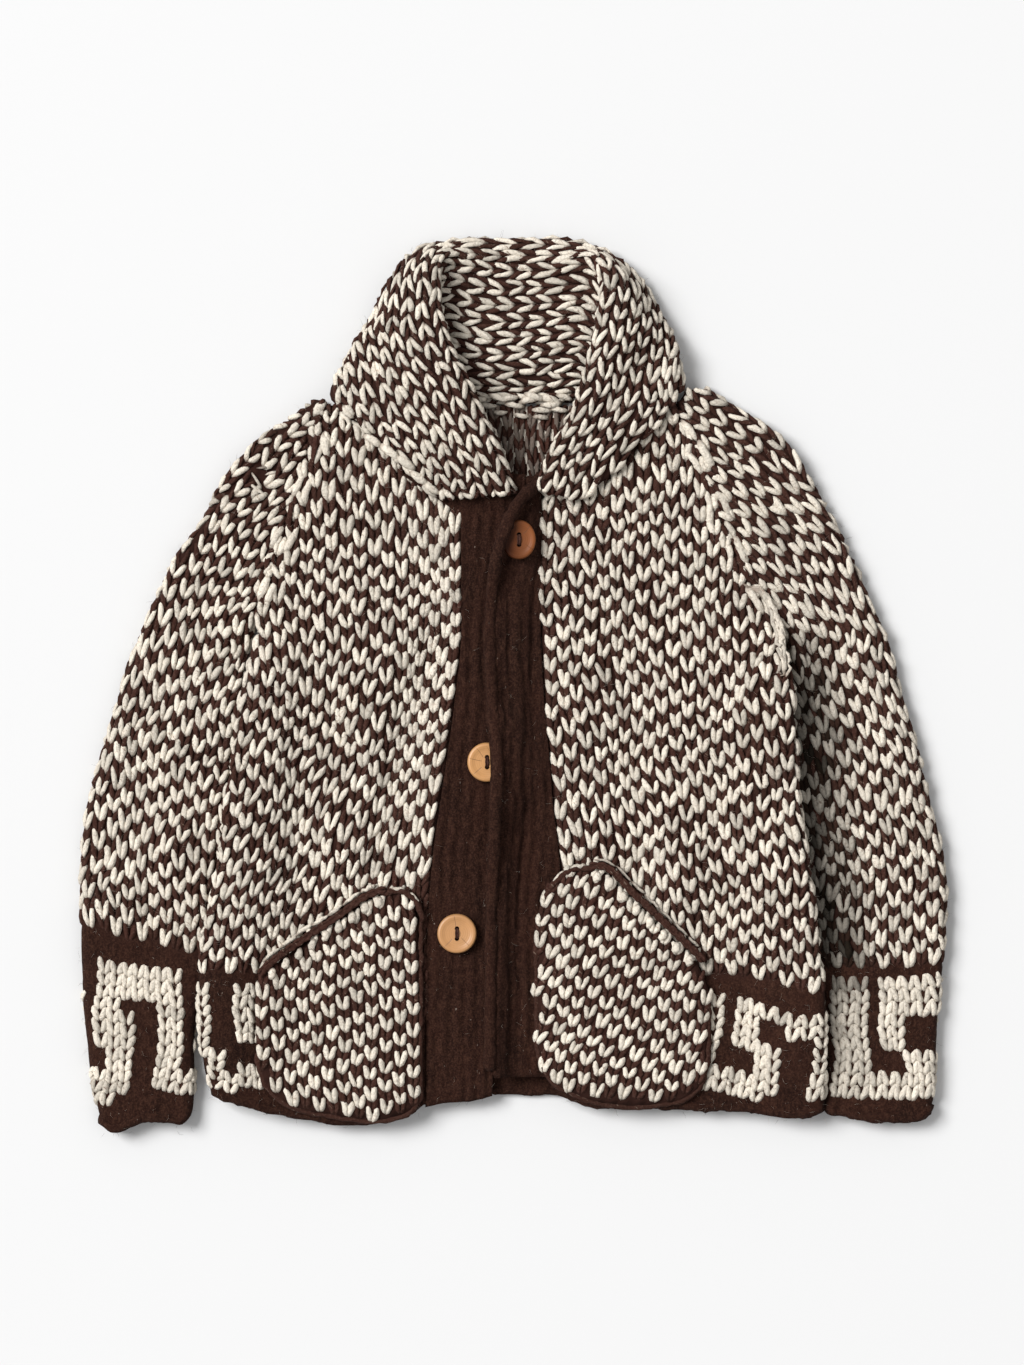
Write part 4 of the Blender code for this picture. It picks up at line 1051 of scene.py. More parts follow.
def yarn_piece(name, groups, material, slot="two_colour_knit", sides=5, nodes=()):
    """One mesh of many closed strands. Each group of strands has its own number of rings."""
    points, quads, caps, uvs, layers = [], [], [], [], {"dye": [], "tone": []}
    draw = np.random.default_rng(len(name))
    around = np.arange(sides) / sides * math.tau + math.pi / 2
    base = 0
    for yarns in groups:
        count, rings = yarns.lines.shape[:2]
        along = unit(np.gradient(yarns.lines, axis=1))
        across = unit(np.cross(along, yarns.normals))
        outward = np.cross(across, along)
        lumps = 1 + np.clip(draw.normal(0, UNEVEN_WOOL, (2, count, rings, sides)),
                            -LUMP_LIMIT, LUMP_LIMIT)
        wide = yarns.widths[:, :, None] * np.cos(around) * lumps[0]
        deep = yarns.depths[:, :, None] * np.sin(around) * lumps[1]
        ring = (yarns.lines[:, :, None] + across[:, :, None] * wide[..., None]
                + outward[:, :, None] * deep[..., None])
        index = base + np.arange(count * rings * sides).reshape(count, rings, sides)
        turned = np.roll(index, -1, axis=2)
        quad = np.stack([index[:, :-1], index[:, 1:], turned[:, 1:], turned[:, :-1]], axis=-1)
        u, v = np.meshgrid(np.arange(sides) / sides, np.arange(rings) / (rings - 1))
        low, high, u_next = v[:-1], v[1:], u[:-1] + 1 / sides
        one = np.stack([np.stack(corner, -1) for corner in (
            (u[:-1], low), (u[:-1], high), (u_next, high), (u_next, low))], axis=2)
        uvs.append(np.broadcast_to(one, (count, *one.shape)).reshape(-1, 2))
        points.append(ring.reshape(-1, 3))
        quads.append(quad.reshape(-1, 4))
        caps += [index[:, 0], index[:, -1, ::-1]]
        for layer, values in layers.items():
            values.append(np.repeat(getattr(yarns, layer), rings * sides))
        base += count * rings * sides
    piece = raw_mesh(name, over_floor(np.concatenate(points)), np.concatenate(quads), material,
                     np.concatenate(caps), np.concatenate(uvs),
                     {layer: np.concatenate(values) for layer, values in layers.items()})
    return settle(piece, slot, *nodes)


def wall_piece(name, fabric, across, up, out, inside, material, slot, relief=None, felt=None):
    """The closed wall behind the stitches, over a grid of places: outer and inner faces
    joined round the edges. The CAD node is named as the piece is, without its first word."""
    height = np.full(across.shape, out)
    if relief is not None:
        height = height + relief(across, up)
    outer = fabric.at(across, up, height)[0]
    inner = fabric.at(across, up, np.full(across.shape, -inside))[0]
    points = over_floor(np.concatenate([outer.reshape(-1, 3), inner.reshape(-1, 3)]))
    index = np.arange(across.size).reshape(across.shape)
    upper = np.stack([index[:-1, :-1], index[:-1, 1:], index[1:, 1:], index[1:, :-1]],
                     -1).reshape(-1, 4)
    lower = upper[:, ::-1] + across.size
    rim = np.concatenate([index[0, :-1], index[:-1, -1], index[-1, :0:-1], index[:0:-1, 0]])
    following = np.roll(rim, -1)
    sides = np.stack([following, rim, rim + across.size, following + across.size], -1)
    quads = np.concatenate([upper, lower, sides])
    if wall_turned(outer, inner):
        quads = quads[:, ::-1]
    uv = np.concatenate([np.stack([across, up], -1).reshape(-1, 2)] * 2) / UV_UNIT
    shares = felt(across, up).ravel() if felt is not None else np.zeros(across.size)
    piece = raw_mesh(name, points, quads, material, corner_uv=uv[quads.ravel()],
                     layers={"inner": np.repeat([0.0, 1.0], across.size),
                             "felt": np.concatenate([shares] * 2)})
    return settle(piece, slot, name.split("_", 1)[1])


def wall_turned(outer, inner):
    """Whether a grid's faces look away from its outer side."""
    r, c = outer.shape[0] // 2, outer.shape[1] // 2
    face = np.cross(outer[r, c + 1] - outer[r, c], outer[r + 1, c] - outer[r, c])
    return float(np.dot(face, outer[r, c] - inner[r, c])) < 0


def wall_grid(fabric, ups, columns):
    """Places all over a fabric, from edge to edge."""
    low, high = fabric.ends(ups)
    across = low[:, None] + (high - low)[:, None] * np.linspace(0, 1, columns)
    return across, np.repeat(ups[:, None], columns, axis=1)


def panel_grid(fabric, columns):
    """Places all over a panel: close together near its lower edge, whose shape they take."""
    middle = fabric.ups[0] + FINE_EDGE_ZONE
    ups = np.concatenate([spread(fabric.ups[0], middle, FABRIC_RISE),
                          spread(middle, fabric.ups[-1], FABRIC_RISE * 3)[1:]])
    across, up = wall_grid(fabric, ups, columns)
    near_edge = np.clip(1 - (ups - ups[0]) / EDGE_ZONE, 0, 1)[:, None]
    return across, up + lower_edge(fabric, across[0]) * near_edge


def lower_edge(fabric, across):
    """How far a panel's lower edge rises from straight: a table of the cuffs' own waves, or
    rounded corners, and a slow unevenness."""
    x = fabric.at(across, np.full(across.shape, fabric.ups[0]))[0][..., 0]
    corner = np.minimum(x - x.min(), x.max() - x)
    rise = 0.4 * (1 + wander(x, 0.0, 17.0, 312))
    if fabric.edge_waves:
        inside = 1 - np.clip(corner / CUFF_CORNER, 0, 1)
        return rise + np.interp(x, *zip(*fabric.edge_waves)) + CUFF_CORNER * (
            1 - np.sqrt(1 - inside ** 2))
    rounding = CORNER_RISE * (1 - np.sin(np.clip(corner / CORNER_REACH, 0, 1) * math.pi / 2))
    return rise + rounding + 1.0 * (1 + wander(x, 0.0, 62.0, 311))


def felt_over(level_at, key, wale):
    """How far felt covers each place of a panel, and the relief it gives: the key band is
    felted, with faint ribs where its wales were."""
    def share(across, up):
        margin, softness = 3.0, 5.0
        return np.clip((KEY_TOP[key] + margin - level_at(across, up)) / softness, 0, 1)

    def relief(across, up):
        lumps = (0.22 * wander(across, up, 11.0, 301) + 0.16 * wander(across, up, 5.5, 302)
                 + 0.14 * np.cos(across / wale * math.tau))
        return share(across, up) * (FELT_HEIGHT + lumps - BACKING_OUT)

    return relief, share


# ------------------------------------------------------------------ stitches

def knit(fabric, chart, numbers, colour, seed, face=1, shape=PLAIN, keep=None):
    """Stitches of a fabric. chart gives across and up from wale and row numbers, and colour
    gives the dye, and how felted and how neat each stitch is, from its place."""
    draw = np.random.default_rng(seed)
    a, b = np.meshgrid(np.arange(*numbers.wales), np.arange(*numbers.rows), indexing="ij")
    a, b = a.ravel().astype(float), b.ravel().astype(float)
    across, up = chart(a, b)
    low, high = fabric.ends(up)
    inside = (across > low - STITCH_OVERHANG) & (across < high + STITCH_OVERHANG)
    inside &= (up > fabric.ups[0] - ROW_OVERHANG) & (up < fabric.ups[-1] + ROW_OVERHANG)
    if keep is not None:
        inside &= keep(across, up)
    a, b, across, up = a[inside], b[inside], across[inside], up[inside]
    centre, normal = fabric.at(across, up)
    dye, felt, neat = colour(a, b, centre)
    under = (normal[:, 2] * face) < FACES_DOWN
    yarns = []
    for chosen, profile in ((~under, STITCH_LEG), (under, STITCH_LEG_UNDER)):
        chosen = chosen & (felt < 0.5)
        if chosen.any():
            yarns.append(legs(fabric, chart, a[chosen], b[chosen], dye[chosen], neat[chosen],
                              profile, draw, face, shape))
    return yarns


def legs(fabric, chart, a, b, dye, neat, profile, draw, face, shape):
    """Both legs of every stitch, as strands of a few rings each."""
    count = len(a)
    uneven = shape.unevenness * (1 - NEAT.steadier * neat)
    side, rise, thick, height = np.array(profile).T
    side, rise = side * shape.splay, rise * shape.reach

    def varied(amount):
        return draw.normal(0, amount, count) * uneven

    def each_ring(amount):
        return draw.normal(0, amount, (count, len(profile)))

    shift_a, shift_b, lean = varied(UNEVEN.across), varied(UNEVEN.up), varied(UNEVEN.lean)
    size = 1 + varied(UNEVEN.size)
    tone = draw.normal(0, 1, count)
    raised = (dye - 0.5) * CREAM_RAISED + varied(UNEVEN.raised) + shape.raised
    parts = []
    for hand in (-1, 1):
        fat = ((1 + varied(UNEVEN.leg_fat)) * (1 + (dye - 0.5) * CREAM_FULLER)
               * (1 + NEAT.fuller * neat))
        reach = 1 + varied(UNEVEN.leg_reach)
        open_up = 1 + varied(UNEVEN.opening)
        da = hand * side * (open_up * (1 + NEAT.wider * neat))[:, None] + lean[:, None] * rise
        db = (rise * (size * reach * (1 - NEAT.shorter * neat))[:, None]
              + varied(UNEVEN.leg_up)[:, None])
        at_a = (a + shift_a)[:, None] + da + each_ring(UNEVEN.ring_across)
        at_b = (b + shift_b)[:, None] + db
        across, up = chart(at_a, at_b)
        low, high = fabric.ends(up)
        across = np.clip(across, low - LEG_OVERHANG, high + LEG_OVERHANG)
        level = height + raised[:, None] + each_ring(UNEVEN.ring_height)
        lines, normals = fabric.at(across, up, face * level)
        swell = fat[:, None] * thick * shape.width * (1 + each_ring(UNEVEN.ring_fat))
        parts.append(Yarns(lines, normals * face, YARN_WIDTH * swell, YARN_DEPTH * swell,
                           dye, tone + draw.normal(0, UNEVEN.leg_tone, count)))
    return join_yarns(parts)


def checks(a, b):
    """1 on every other stitch, so that each cream one has brown ones beside and over it."""
    return ((a + b) % 2 < 0.5).astype(float)


def all_checks(a, b, centre, dye=1.0):
    return checks(a, b) * dye, np.zeros(len(a)), np.zeros(len(a))


def in_shade(a, b, centre):
    """Checks whose cream is painted darker with a low dye, as painted shade inside the neck."""
    return all_checks(a, b, centre, NECK_PAINTED_SHADE_DYE)


def in_bars(bars, a, b):
    found = np.zeros(a.shape, bool)
    for bar in bars:
        found |= (a >= bar.first) & (a <= bar.last) & (b >= bar.low) & (b <= bar.high)
    return found


def patterned(key, first_row, row):
    """Checks above, the key band and its brown rim below."""
    def colour(a, b, centre):
        repeat = np.mod(a, KEY_REPEAT_WALES)
        cream = in_bars(KEY_REPEAT, repeat, b) | in_bars(KEY_REPEAT, repeat - KEY_REPEAT_WALES, b)
        if key in KEY_BARS:
            shown = a >= LISTED_FROM[key] if key in LISTED_FROM else (
                (centre[:, 2] > WALL + AIR / 2) & (np.abs(a) < UPPER_WALES))
            cream = np.where(shown, in_bars(KEY_BARS[key], a, b), cream)
        in_key = first_row + b * row < KEY_TOP[key]
        dye = np.where(in_key, cream, checks(a, b)).astype(float)
        if key == "front_right":
            dye[(a < 1) & (centre[:, 1] < PLAIN_WALE_Y)] = 0.0
        return dye, (in_key & ~cream).astype(float), in_key.astype(float)
    return colour


def in_deep_shade(yarns):
    """Painted shadow: the left sleeve's wool is made darker where the front's raised edge shades
    it.
    """
    x, y, z = np.moveaxis(yarns.lines[:, yarns.lines.shape[1] // 2], -1, 0)
    edge = np.interp(y, [e.y for e in BODY_EDGES[::-1]], [e.left for e in BODY_EDGES[::-1]])
    near = np.clip(2.0 * (1 - (x - edge) / DEEP_REACH), 0, 1) * (z > WALL)
    run = fade(y, *DEEP_FADE) * (
        DEEP_LOW_SHARE + (1 - DEEP_LOW_SHARE) * fade(y, *DEEP_LOW_FADE))
    return yarns._replace(tone=yarns.tone - DEEP_SHADE * near * run)


def cord_yarn(line, radius, dye, seed, depth=None, wobble=0.25, step=3.0):
    """One long strand along a line, with rounded ends."""
    line = np.asarray(line, float)
    count = max(6, int(steps_of(line).sum() / step))
    points = place_along(line, count)
    draw = np.random.default_rng(seed)
    points = points + draw.normal(0, wobble, points.shape) * 0.5
    ends = from_ends(count)
    fat = radius * np.where(ends == 0, 0.35, np.where(ends == 1, 0.85, 1.0)) * (
        1 + draw.normal(0, 0.04, count))
    return one_yarn(points, upward(points), fat, fat * ((depth or radius) / radius), dye,
                    draw.normal(0, 1))


def fuzz(fabric, count, seed, pale, length, radius, height=2.2):
    """Loose fibres all over a fabric, standing off it. pale is the share of cream ones."""
    draw = np.random.default_rng(seed)
    across = draw.uniform(fabric.low.min(), fabric.high.max(), count)
    up = draw.uniform(fabric.ups[0], fabric.ups[-1], count)
    low, high = fabric.ends(up)
    inside = (across > low) & (across < high)
    across, up = across[inside], up[inside]
    count = len(across)
    root, normal = fabric.at(across, up, height + draw.uniform(-0.5, 0.6, count))
    heading = draw.uniform(0, math.tau, count)
    other = heading + draw.normal(0, 0.9, count)
    reach = draw.uniform(*length, count)[:, None]
    first, second = (np.stack([np.cos(turn), np.sin(turn), np.zeros(count)], -1)
                     for turn in (heading, other))
    stand = draw.uniform(0.1, 1.0, count)[:, None] * 0.5
    middle = root + (first + normal * stand * 1.4) * reach * 0.5
    tip = middle + (second + normal * stand * 0.2) * reach * 0.5
    widths = np.broadcast_to(np.array([1.0, 0.85, 0.3]) * radius, (count, 3)).copy()
    dye = (draw.uniform(0, 1, count) < pale).astype(float)
    return Yarns(np.stack([root, middle, tip], 1), np.repeat(normal[:, None], 3, 1), widths,
                 widths, dye, draw.normal(0, 1.3, count))


# ------------------------------------------------------------------ shader maths

class Wire:
    """A socket of a material, so that Python's own operators add Math nodes."""

    def __init__(self, looks, socket):
        self.looks, self.socket = looks, socket

    def _math(self, operation, *others):
        values = [o.socket if isinstance(o, Wire) else o for o in others]
        node = self.looks.node("ShaderNodeMath", {"operation": operation},
                               dict(enumerate(values)))
        return Wire(self.looks, node.outputs[0])

    def __add__(self, other): return self._math("ADD", self, other)
    def __radd__(self, other): return self._math("ADD", other, self)
    def __sub__(self, other): return self._math("SUBTRACT", self, other)
    def __rsub__(self, other): return self._math("SUBTRACT", other, self)
    def __mul__(self, other): return self._math("MULTIPLY", self, other)
    def __rmul__(self, other): return self._math("MULTIPLY", other, self)
    def __truediv__(self, other): return self._math("DIVIDE", self, other)
    def __rtruediv__(self, other): return self._math("DIVIDE", other, self)
    def __pow__(self, other): return self._math("POWER", self, other)
    def larger(self, other): return self._math("MAXIMUM", self, other)
    def turn_from(self, other): return self._math("ARCTAN2", self, other)
    def sine(self): return self._math("SINE", self)
    def fraction(self): return self._math("FRACT", self)
    def floor(self): return self._math("FLOOR", self)

    def clamped(self):
        return self._math("MINIMUM", self.larger(0.0), 1.0)

    def above(self, edge, softness):
        """0 below an edge and 1 above it, over a soft step."""
        return ((self - (edge - softness / 2)) / softness).clamped()

    def wave(self):
        """A sine of whole turns, from 0 to 1."""
        return (self * math.tau).sine() * 0.5 + 0.5


class Looks:
    """One material under construction."""

    def __init__(self, name):
        self.material = bpy.data.materials.new(name)
        self.material.use_nodes = True
        self.tree = self.material.node_tree
        self.shader = self.tree.nodes["Principled BSDF"]

    def node(self, kind, settings=None, sockets=None):
        made = self.tree.nodes.new(kind)
        for setting, value in (settings or {}).items():
            setattr(made, setting, value)
        for socket, value in (sockets or {}).items():
            self.feed(made.inputs[socket], value)
        return made

    def feed(self, socket, value):
        """A value for a socket, or a link to it."""
        if isinstance(value, Wire):
            value = value.socket
        if isinstance(value, bpy.types.NodeSocket):
            self.tree.links.new(value, socket)
        else:
            socket.default_value = value

    def wire(self, node, output=0):
        return Wire(self, node.outputs[output])

    def attribute(self, name):
        return self.wire(self.node("ShaderNodeAttribute", {"attribute_name": name}), "Fac")

    def place(self, centre=(0, 0, 0), scale=(1, 1, 1), source="Object", turn=0.0):
        if source == "Object":
            where = self.wire(self.node("ShaderNodeTexCoord"), "Object")
        else:
            where = self.wire(self.node("ShaderNodeUVMap", {"uv_map": source}), "UV")
        if turn:
            where = self.wire(self.node("ShaderNodeVectorRotate", {"rotation_type": "Z_AXIS"},
                                        {"Vector": where, "Angle": turn}))
        return self.wire(self.node("ShaderNodeMapping", {"vector_type": "POINT"},
                                   {"Vector": where, "Scale": scale,
                                    "Location": tuple(-c * s for c, s in zip(centre, scale))}))

    def parts(self, vector):
        split = self.node("ShaderNodeSeparateXYZ", None, {0: vector})
        return [self.wire(split, k) for k in range(3)]

    def noise(self, vector, scale, detail=2.0, roughness=0.5):
        return self.wire(self.node("ShaderNodeTexNoise", {"noise_dimensions": "3D"},
                                   {"Vector": vector, "Scale": scale, "Detail": detail,
                                    "Roughness": roughness, "Distortion": 0.0}), "Fac")

    def blend(self, share, first, second, how="MIX"):
        return self.wire(self.node("ShaderNodeMix", {"data_type": "RGBA", "blend_type": how},
                                   {0: share, 6: self.colour(first), 7: self.colour(second)}), 2)

    @staticmethod
    def colour(value):
        return value if isinstance(value, Wire) else (*tuple(value)[:3], 1.0)

    def finish(self, colour, roughness=0.9, height=None, strength=0.5, distance=0.001,
               shine=0.5):
        inputs = self.shader.inputs
        self.feed(inputs["Base Color"], self.colour(colour))
        self.feed(inputs["Roughness"], roughness)
        self.feed(inputs["Metallic"], 0.0)
        self.feed(inputs["Specular IOR Level"], shine)
        if height is not None:
            bump = self.node("ShaderNodeBump", None,
                             {"Height": height, "Strength": strength, "Distance": distance})
            self.feed(inputs["Normal"], self.wire(bump))
        return self.material


def shade(colour, factor):
    return tuple(min(1.0, c * factor) for c in tuple(colour)[:3])


def wool_material(name):
    """Plied wool: cream or brown by the dye of each strand, with flecks of the other."""
    colours = bpy.context.scene.jacket_colours
    looks = Looks(name)
    dye, tone = looks.attribute("dye"), looks.attribute("tone")
    where = looks.place()
    around, along, _ = looks.parts(looks.place(source="Yarn"))
    fine = looks.noise(where, 800.0, 3.0, 0.7)
    patchy = looks.noise(where, 70.0, 2.0, 0.5)
    fleck = looks.noise(where, 480.0, 2.0, 0.7)
    ply = (around * 2.0 + along * 2.6 + patchy * 0.8).wave()
    underside_shade = (around + 0.75).wave()
    hairs = looks.noise(looks.place(scale=(1.0, 0.22, 1.0), turn=-0.8), 900.0, 1.0).larger(0.5)
    haze = looks.noise(where, 45.0, 3.0, 0.6)
    # Cream wool: broad patches of tone, dark flecks, and painted shade in the ply's grooves, on
    # each strand's underside and where its ends tuck under
    cream = looks.blend(patchy.above(0.52, 0.4) * 0.5, colours.cream, shade(colours.cream, 0.86))
    cream = looks.blend(fleck.above(0.64, 0.12) * 0.50, cream, TINTS.fleck)
    cream = looks.blend(fine.above(0.56, 0.22) * 0.45, cream, shade(colours.cream, 0.55))
    cream = looks.blend((1.0 - ply) * 0.08, cream, TINTS.ply_shadow)
    # painted shade on the underside of each strand, broken up by noise
    cream = looks.blend((underside_shade - 1.0 + fine * 0.9 + 0.15).clamped() * 0.75, cream, TINTS.underside_shade)
    # painted shade where each leg's ends tuck under the stitches beside it
    tucked_end_shade = (1.0 - along.above(0.17, 0.22)) + along.above(0.93, 0.12)
    cream = looks.blend(tucked_end_shade.clamped() * 0.62, cream, TINTS.tucked_end_shade)
    cream = looks.blend(hairs.above(0.69, 0.06) * haze.above(0.48, 0.25) * 0.65, cream,
                        TINTS.dark_hair)
    # Brown wool, with lighter fluff and pale hairs
    brown = looks.blend(patchy.above(0.50, 0.6) * 0.6, colours.brown, shade(colours.brown, 0.55))
    brown = looks.blend(fine.above(0.58, 0.22) * 0.40, brown, TINTS.light_brown)
    brown = looks.blend(hairs.above(0.72, 0.05) * 0.45, brown, TINTS.pale_hair)
    # The strand's dye chooses between them (a low dye paints shade inside the neck), and its tone
    # darkens it: random tone, and painted shadow beside the left front's raised edge
    wool = looks.blend(dye, brown, cream)
    wool = looks.blend((0.12 - tone * 0.09).clamped(), wool, TINTS.deep)
    height = ply * 0.25 + fine * 1.5 + hairs * 1.0
    return looks.finish(wool, WOOL_ROUGHNESS, height, strength=0.9, distance=0.0009,
                        shine=WOOL_SHINE)


def felt_look(looks):
    """Felted brown wool: streaks along the ribs, red lights and a little pale lint."""
    colours = bpy.context.scene.jacket_colours
    streaks = looks.noise(looks.place(scale=(1.0, 0.4, 1.0)), 520.0, 4.0, 0.7)
    broad = looks.noise(looks.place(scale=(1.0, 0.35, 1.0)), 75.0, 2.0, 0.5)
    fine = looks.noise(looks.place(), 1000.0, 4.0, 0.75)
    base = looks.blend(broad.above(0.5, 0.5), shade(colours.felted, 0.60),
                       shade(colours.felted, 1.30))
    base = looks.blend(streaks.above(0.56, 0.2) * 0.45, base, TINTS.red_streak)
    base = looks.blend(fine.above(0.58, 0.18) * 0.50, base, TINTS.red_light)
    base = looks.blend((1.0 - fine.above(0.42, 0.18)) * 0.45, base, TINTS.felt_dark)
    lint = looks.noise(looks.place(scale=(1.0, 0.5, 1.0)), 620.0, 1.0, 0.4)
    base = looks.blend(lint.above(0.80, 0.03) * 0.5, base, TINTS.lint)
    return base, streaks * 0.6 + fine * 1.6


def felted_material(name):
    looks = Looks(name)
    base, height = felt_look(looks)
    return looks.finish(base, WOOL_ROUGHNESS, height, strength=0.9, shine=WOOL_SHINE)


def backing_material(name):
    """Brown behind the stitches, darkened as painted shade, felted in the key bands; the inner
    side shows the floats.
    """
    colours = bpy.context.scene.jacket_colours
    looks = Looks(name)
    inner, felt = looks.attribute("inner"), looks.attribute("felt")
    stitch = (1 / STITCH_UV[0], 1 / STITCH_UV[1], 1.0)
    across, up, _ = looks.parts(looks.place(source="Yarn", scale=stitch))
    fine = looks.noise(looks.place(), 900.0, 3.0, 0.6)
    cell = ((across.floor() + up.floor()) * 0.5).fraction().above(0.25, 0.02)
    bead = across.wave() * up.wave()
    floats = looks.blend(cell, colours.brown, shade(colours.cream, 0.8))
    floats = looks.blend(fine.above(0.5, 0.4) * 0.3, floats, shade(colours.brown, 1.5))
    # the outer side is brown darkened further: painted shade in the gaps between the stitches
    gap_shade_and_floats = looks.blend(inner, shade(colours.brown, 0.45), floats)
    felted_look, felt_height = felt_look(looks)
    base = looks.blend(felt, gap_shade_and_floats, felted_look)
    height = (bead + fine * 0.5) * (1.0 - felt) + felt_height * felt
    return looks.finish(base, WOOL_ROUGHNESS, height, strength=0.85, shine=WOOL_SHINE)


def wood_material(name, centre, number):
    """Turned pale wood: faint rings, a grain across the disc and fine radial cracks. The top
    button has painted shadow: its wood is darker, and darker still on the side under the ridge."""
    # for the top button these colours include painted shade
    pale = tuple(c * t for c, t in zip(bpy.context.scene.jacket_colours.wood,
                                       BUTTON_TONES_AND_SHADE[number]))
    centre = tuple(c * MM for c in centre)
    looks = Looks(name)
    where = looks.place(centre=centre)
    x, y, _ = looks.parts(where)
    radius = (x * x + y * y) ** 0.5
    turn = y.turn_from(x)
    soft = looks.noise(where, 130.0, 3.0, 0.55)
    rings = (radius * 5200.0 + soft * 7.0).sine() * 0.5 + 0.5
    grain = looks.noise(looks.place(centre=centre, scale=(1, 0.2, 1)), 700.0, 3.0, 0.6)
    wood = looks.blend(rings * 0.30, pale, shade(pale, 0.72))
    wood = looks.blend(grain.above(0.5, 0.5) * 0.35, wood, shade(pale, 1.25))
    wood = looks.blend(soft.above(0.60, 0.3) * 0.35, wood, shade(pale, 0.80))
    crack = 0.0
    for angle, inner, reach in WOOD_CRACKS[number]:
        off = ((turn - angle) + (soft - 0.5) * 0.25) * radius
        width = (1.0 - (off * off) / (CRACK_WIDTH ** 2)).clamped()
        crack = width * radius.above(inner, 0.0006) * (1.0 - radius.above(reach, 0.001)) + crack
    wood = looks.blend(crack.clamped() * 0.85, wood, TINTS.crack)
    wood = looks.blend(radius.above(0.0102, 0.0010) * 0.4, wood, shade(pale, 0.55))
    shine = WOOD_SHINE
    if BUTTONS[number] is BUTTON_TOP:
        # painted shadow: the top button darkens towards its side under the ridge
        hidden = 1.0 - ((x + 0.006) / 0.014).clamped()
        wood = looks.blend(hidden, wood, TINTS.ridge_shadow_wood, how="MULTIPLY")
        shine = WOOL_SHINE
    return looks.finish(wood, WOOD_ROUGHNESS, grain * 0.4 + rings * 0.3 - crack, strength=0.4,
                        distance=0.0003, shine=shine)


def floor_material(name):
    looks = Looks(name)
    grain = looks.noise(looks.place(), 3.0, 2.0)
    floor = bpy.context.scene.jacket_colours.floor
    return looks.finish(looks.blend(grain * 0.02, floor, shade(floor, 0.97)), FLOOR_ROUGHNESS)


def shared(name, make):
    return bpy.data.materials.get(name) or make(name)


def wool():
    return shared("two-colour wool", wool_material)


def backing():
    return shared("wool behind the stitches", backing_material)


def felted():
    return shared("felted brown wool", felted_material)


# ------------------------------------------------------------------ pieces

def sizes_mm():
    sizes = bpy.context.scene.jacket_sizes
    return sizes.wale / MM, sizes.row / MM, sizes.collar_wale / MM, sizes.collar_row / MM


def cut(fabric):
    """A fabric's widest width, its length along the middle and its area, in metres."""
    width = float((fabric.high - fabric.low).max()) * MM
    length = float(fabric.middle_steps().sum()) * MM
    return width, length, min(fabric.area(), width * length)


def straight_chart(reference, wale, row, seed, step=1):
    """Wales parallel to a line x = reference(up), courses level."""
    def chart(a, b):
        up = HEM_Y + FIRST_ROW + b * row
        across = over(reference, up) + step * (a + 0.5) * wale
        return uneven_knit(across, up, seed)
    return chart


def level_up(across, up):
    return up


def fibres(name, fabric, count, seed, pale=0.55, length=(2.0, 4.5), radius=0.05,
           slot="two_colour_knit"):
    hairs = fuzz(fabric, count, seed, pale, length, radius)
    return yarn_piece("fibres_" + name, [hairs], wool(), slot, 3)


def finish_panel(name, fabric, yarns, level_at, wale, columns, sides=5, extra=()):
    """A panel's stitches, its wall and the rolled rim along its lower edge."""
    stitches = yarn_piece("stitches_" + name, yarns, wool(), sides=sides)
    rim = yarn_piece("rim_" + name, [hem_roll(fabric)], felted(), sides=10)
    relief, felt = felt_over(level_at, name, wale)
    wall = wall_piece("knit_" + name, fabric, *panel_grid(fabric, columns), BACKING_OUT,
                      BACKING_IN, backing(), "two_colour_knit", relief, felt)
    if name != "back":
        extra = [*extra, fibres(name, fabric, FIBRES_ON_PANEL, 500 + columns)]
    cut(fabric)


def hem_roll(fabric, radius=2.7, step=2.0, up=2.6, height=0.2):
    """The felted roll along a lower edge, uneven along its length."""
    low, high = (float(ends[0]) for ends in fabric.ends(fabric.ups[:1]))
    count = int((high - low) / step)
    across = np.linspace(low + 1.0, high - 1.0, count)
    line, normals = fabric.at(across, fabric.ups[0] + up + lower_edge(fabric, across),
                              np.full(count, height))
    fat = radius * (1 + 0.10 * wander(across, 0.0, 23.0, 313)
                    + 0.06 * wander(across, 0.0, 7.0, 314))
    fat *= 0.35 + 0.65 * np.sqrt(np.clip(from_ends(count) * step / 8.0, 0, 1))
    return one_yarn(line, normals, fat, fat)


def knit_front(side):
    wale, row, _, _ = sizes_mm()
    name = "front_" + side
    fabric = front_fabric(side)
    chart_seed, seed = SEEDS[name]

    def band_edge(y):
        return front_inner[side](min(y, INNER_WALES_Y))

    straight = straight_chart(band_edge, wale, row, chart_seed, OUTWARD[side])

    def chart(a, b):
        across, up = straight(a, b)
        if side == "right":
            beside = np.clip((over(band_edge, up) - across) / DRAWN_IN_REACH, 0, 1)
            across = across + DRAWN_IN * beside * fade(up, *DRAWN_IN_FADE)
        up = up + np.interp(up, *zip(*FRONT_COURSES[side])) * np.clip(
            across - COURSE_PIVOT[side], -COURSE_REACH, COURSE_REACH)
        if side == "left":
            first, last = COURSE_DROP_X
            drop = COURSE_DROP * np.clip(across - first, 0, last - first)
            up = up - drop * fade(up, *COURSE_DROP_FADE)
            across = across - WALE_LEAN * np.maximum(0, WALE_LEAN_Y - up)
        return across, up

    def uncovered(across, up):
        """Not far under the pocket."""
        spot = fabric.at(across, up)[0]
        return np.array([pocket_inset(side, x, y) < UNDER_POCKET for x, y in spot[:, :2]])

    yarns = knit(fabric, chart, FRONT_CHART, patterned(name, HEM_Y + FIRST_ROW, row), seed,
                 keep=uncovered)
    finish_panel(name, fabric, yarns, level_up, wale, columns=52)


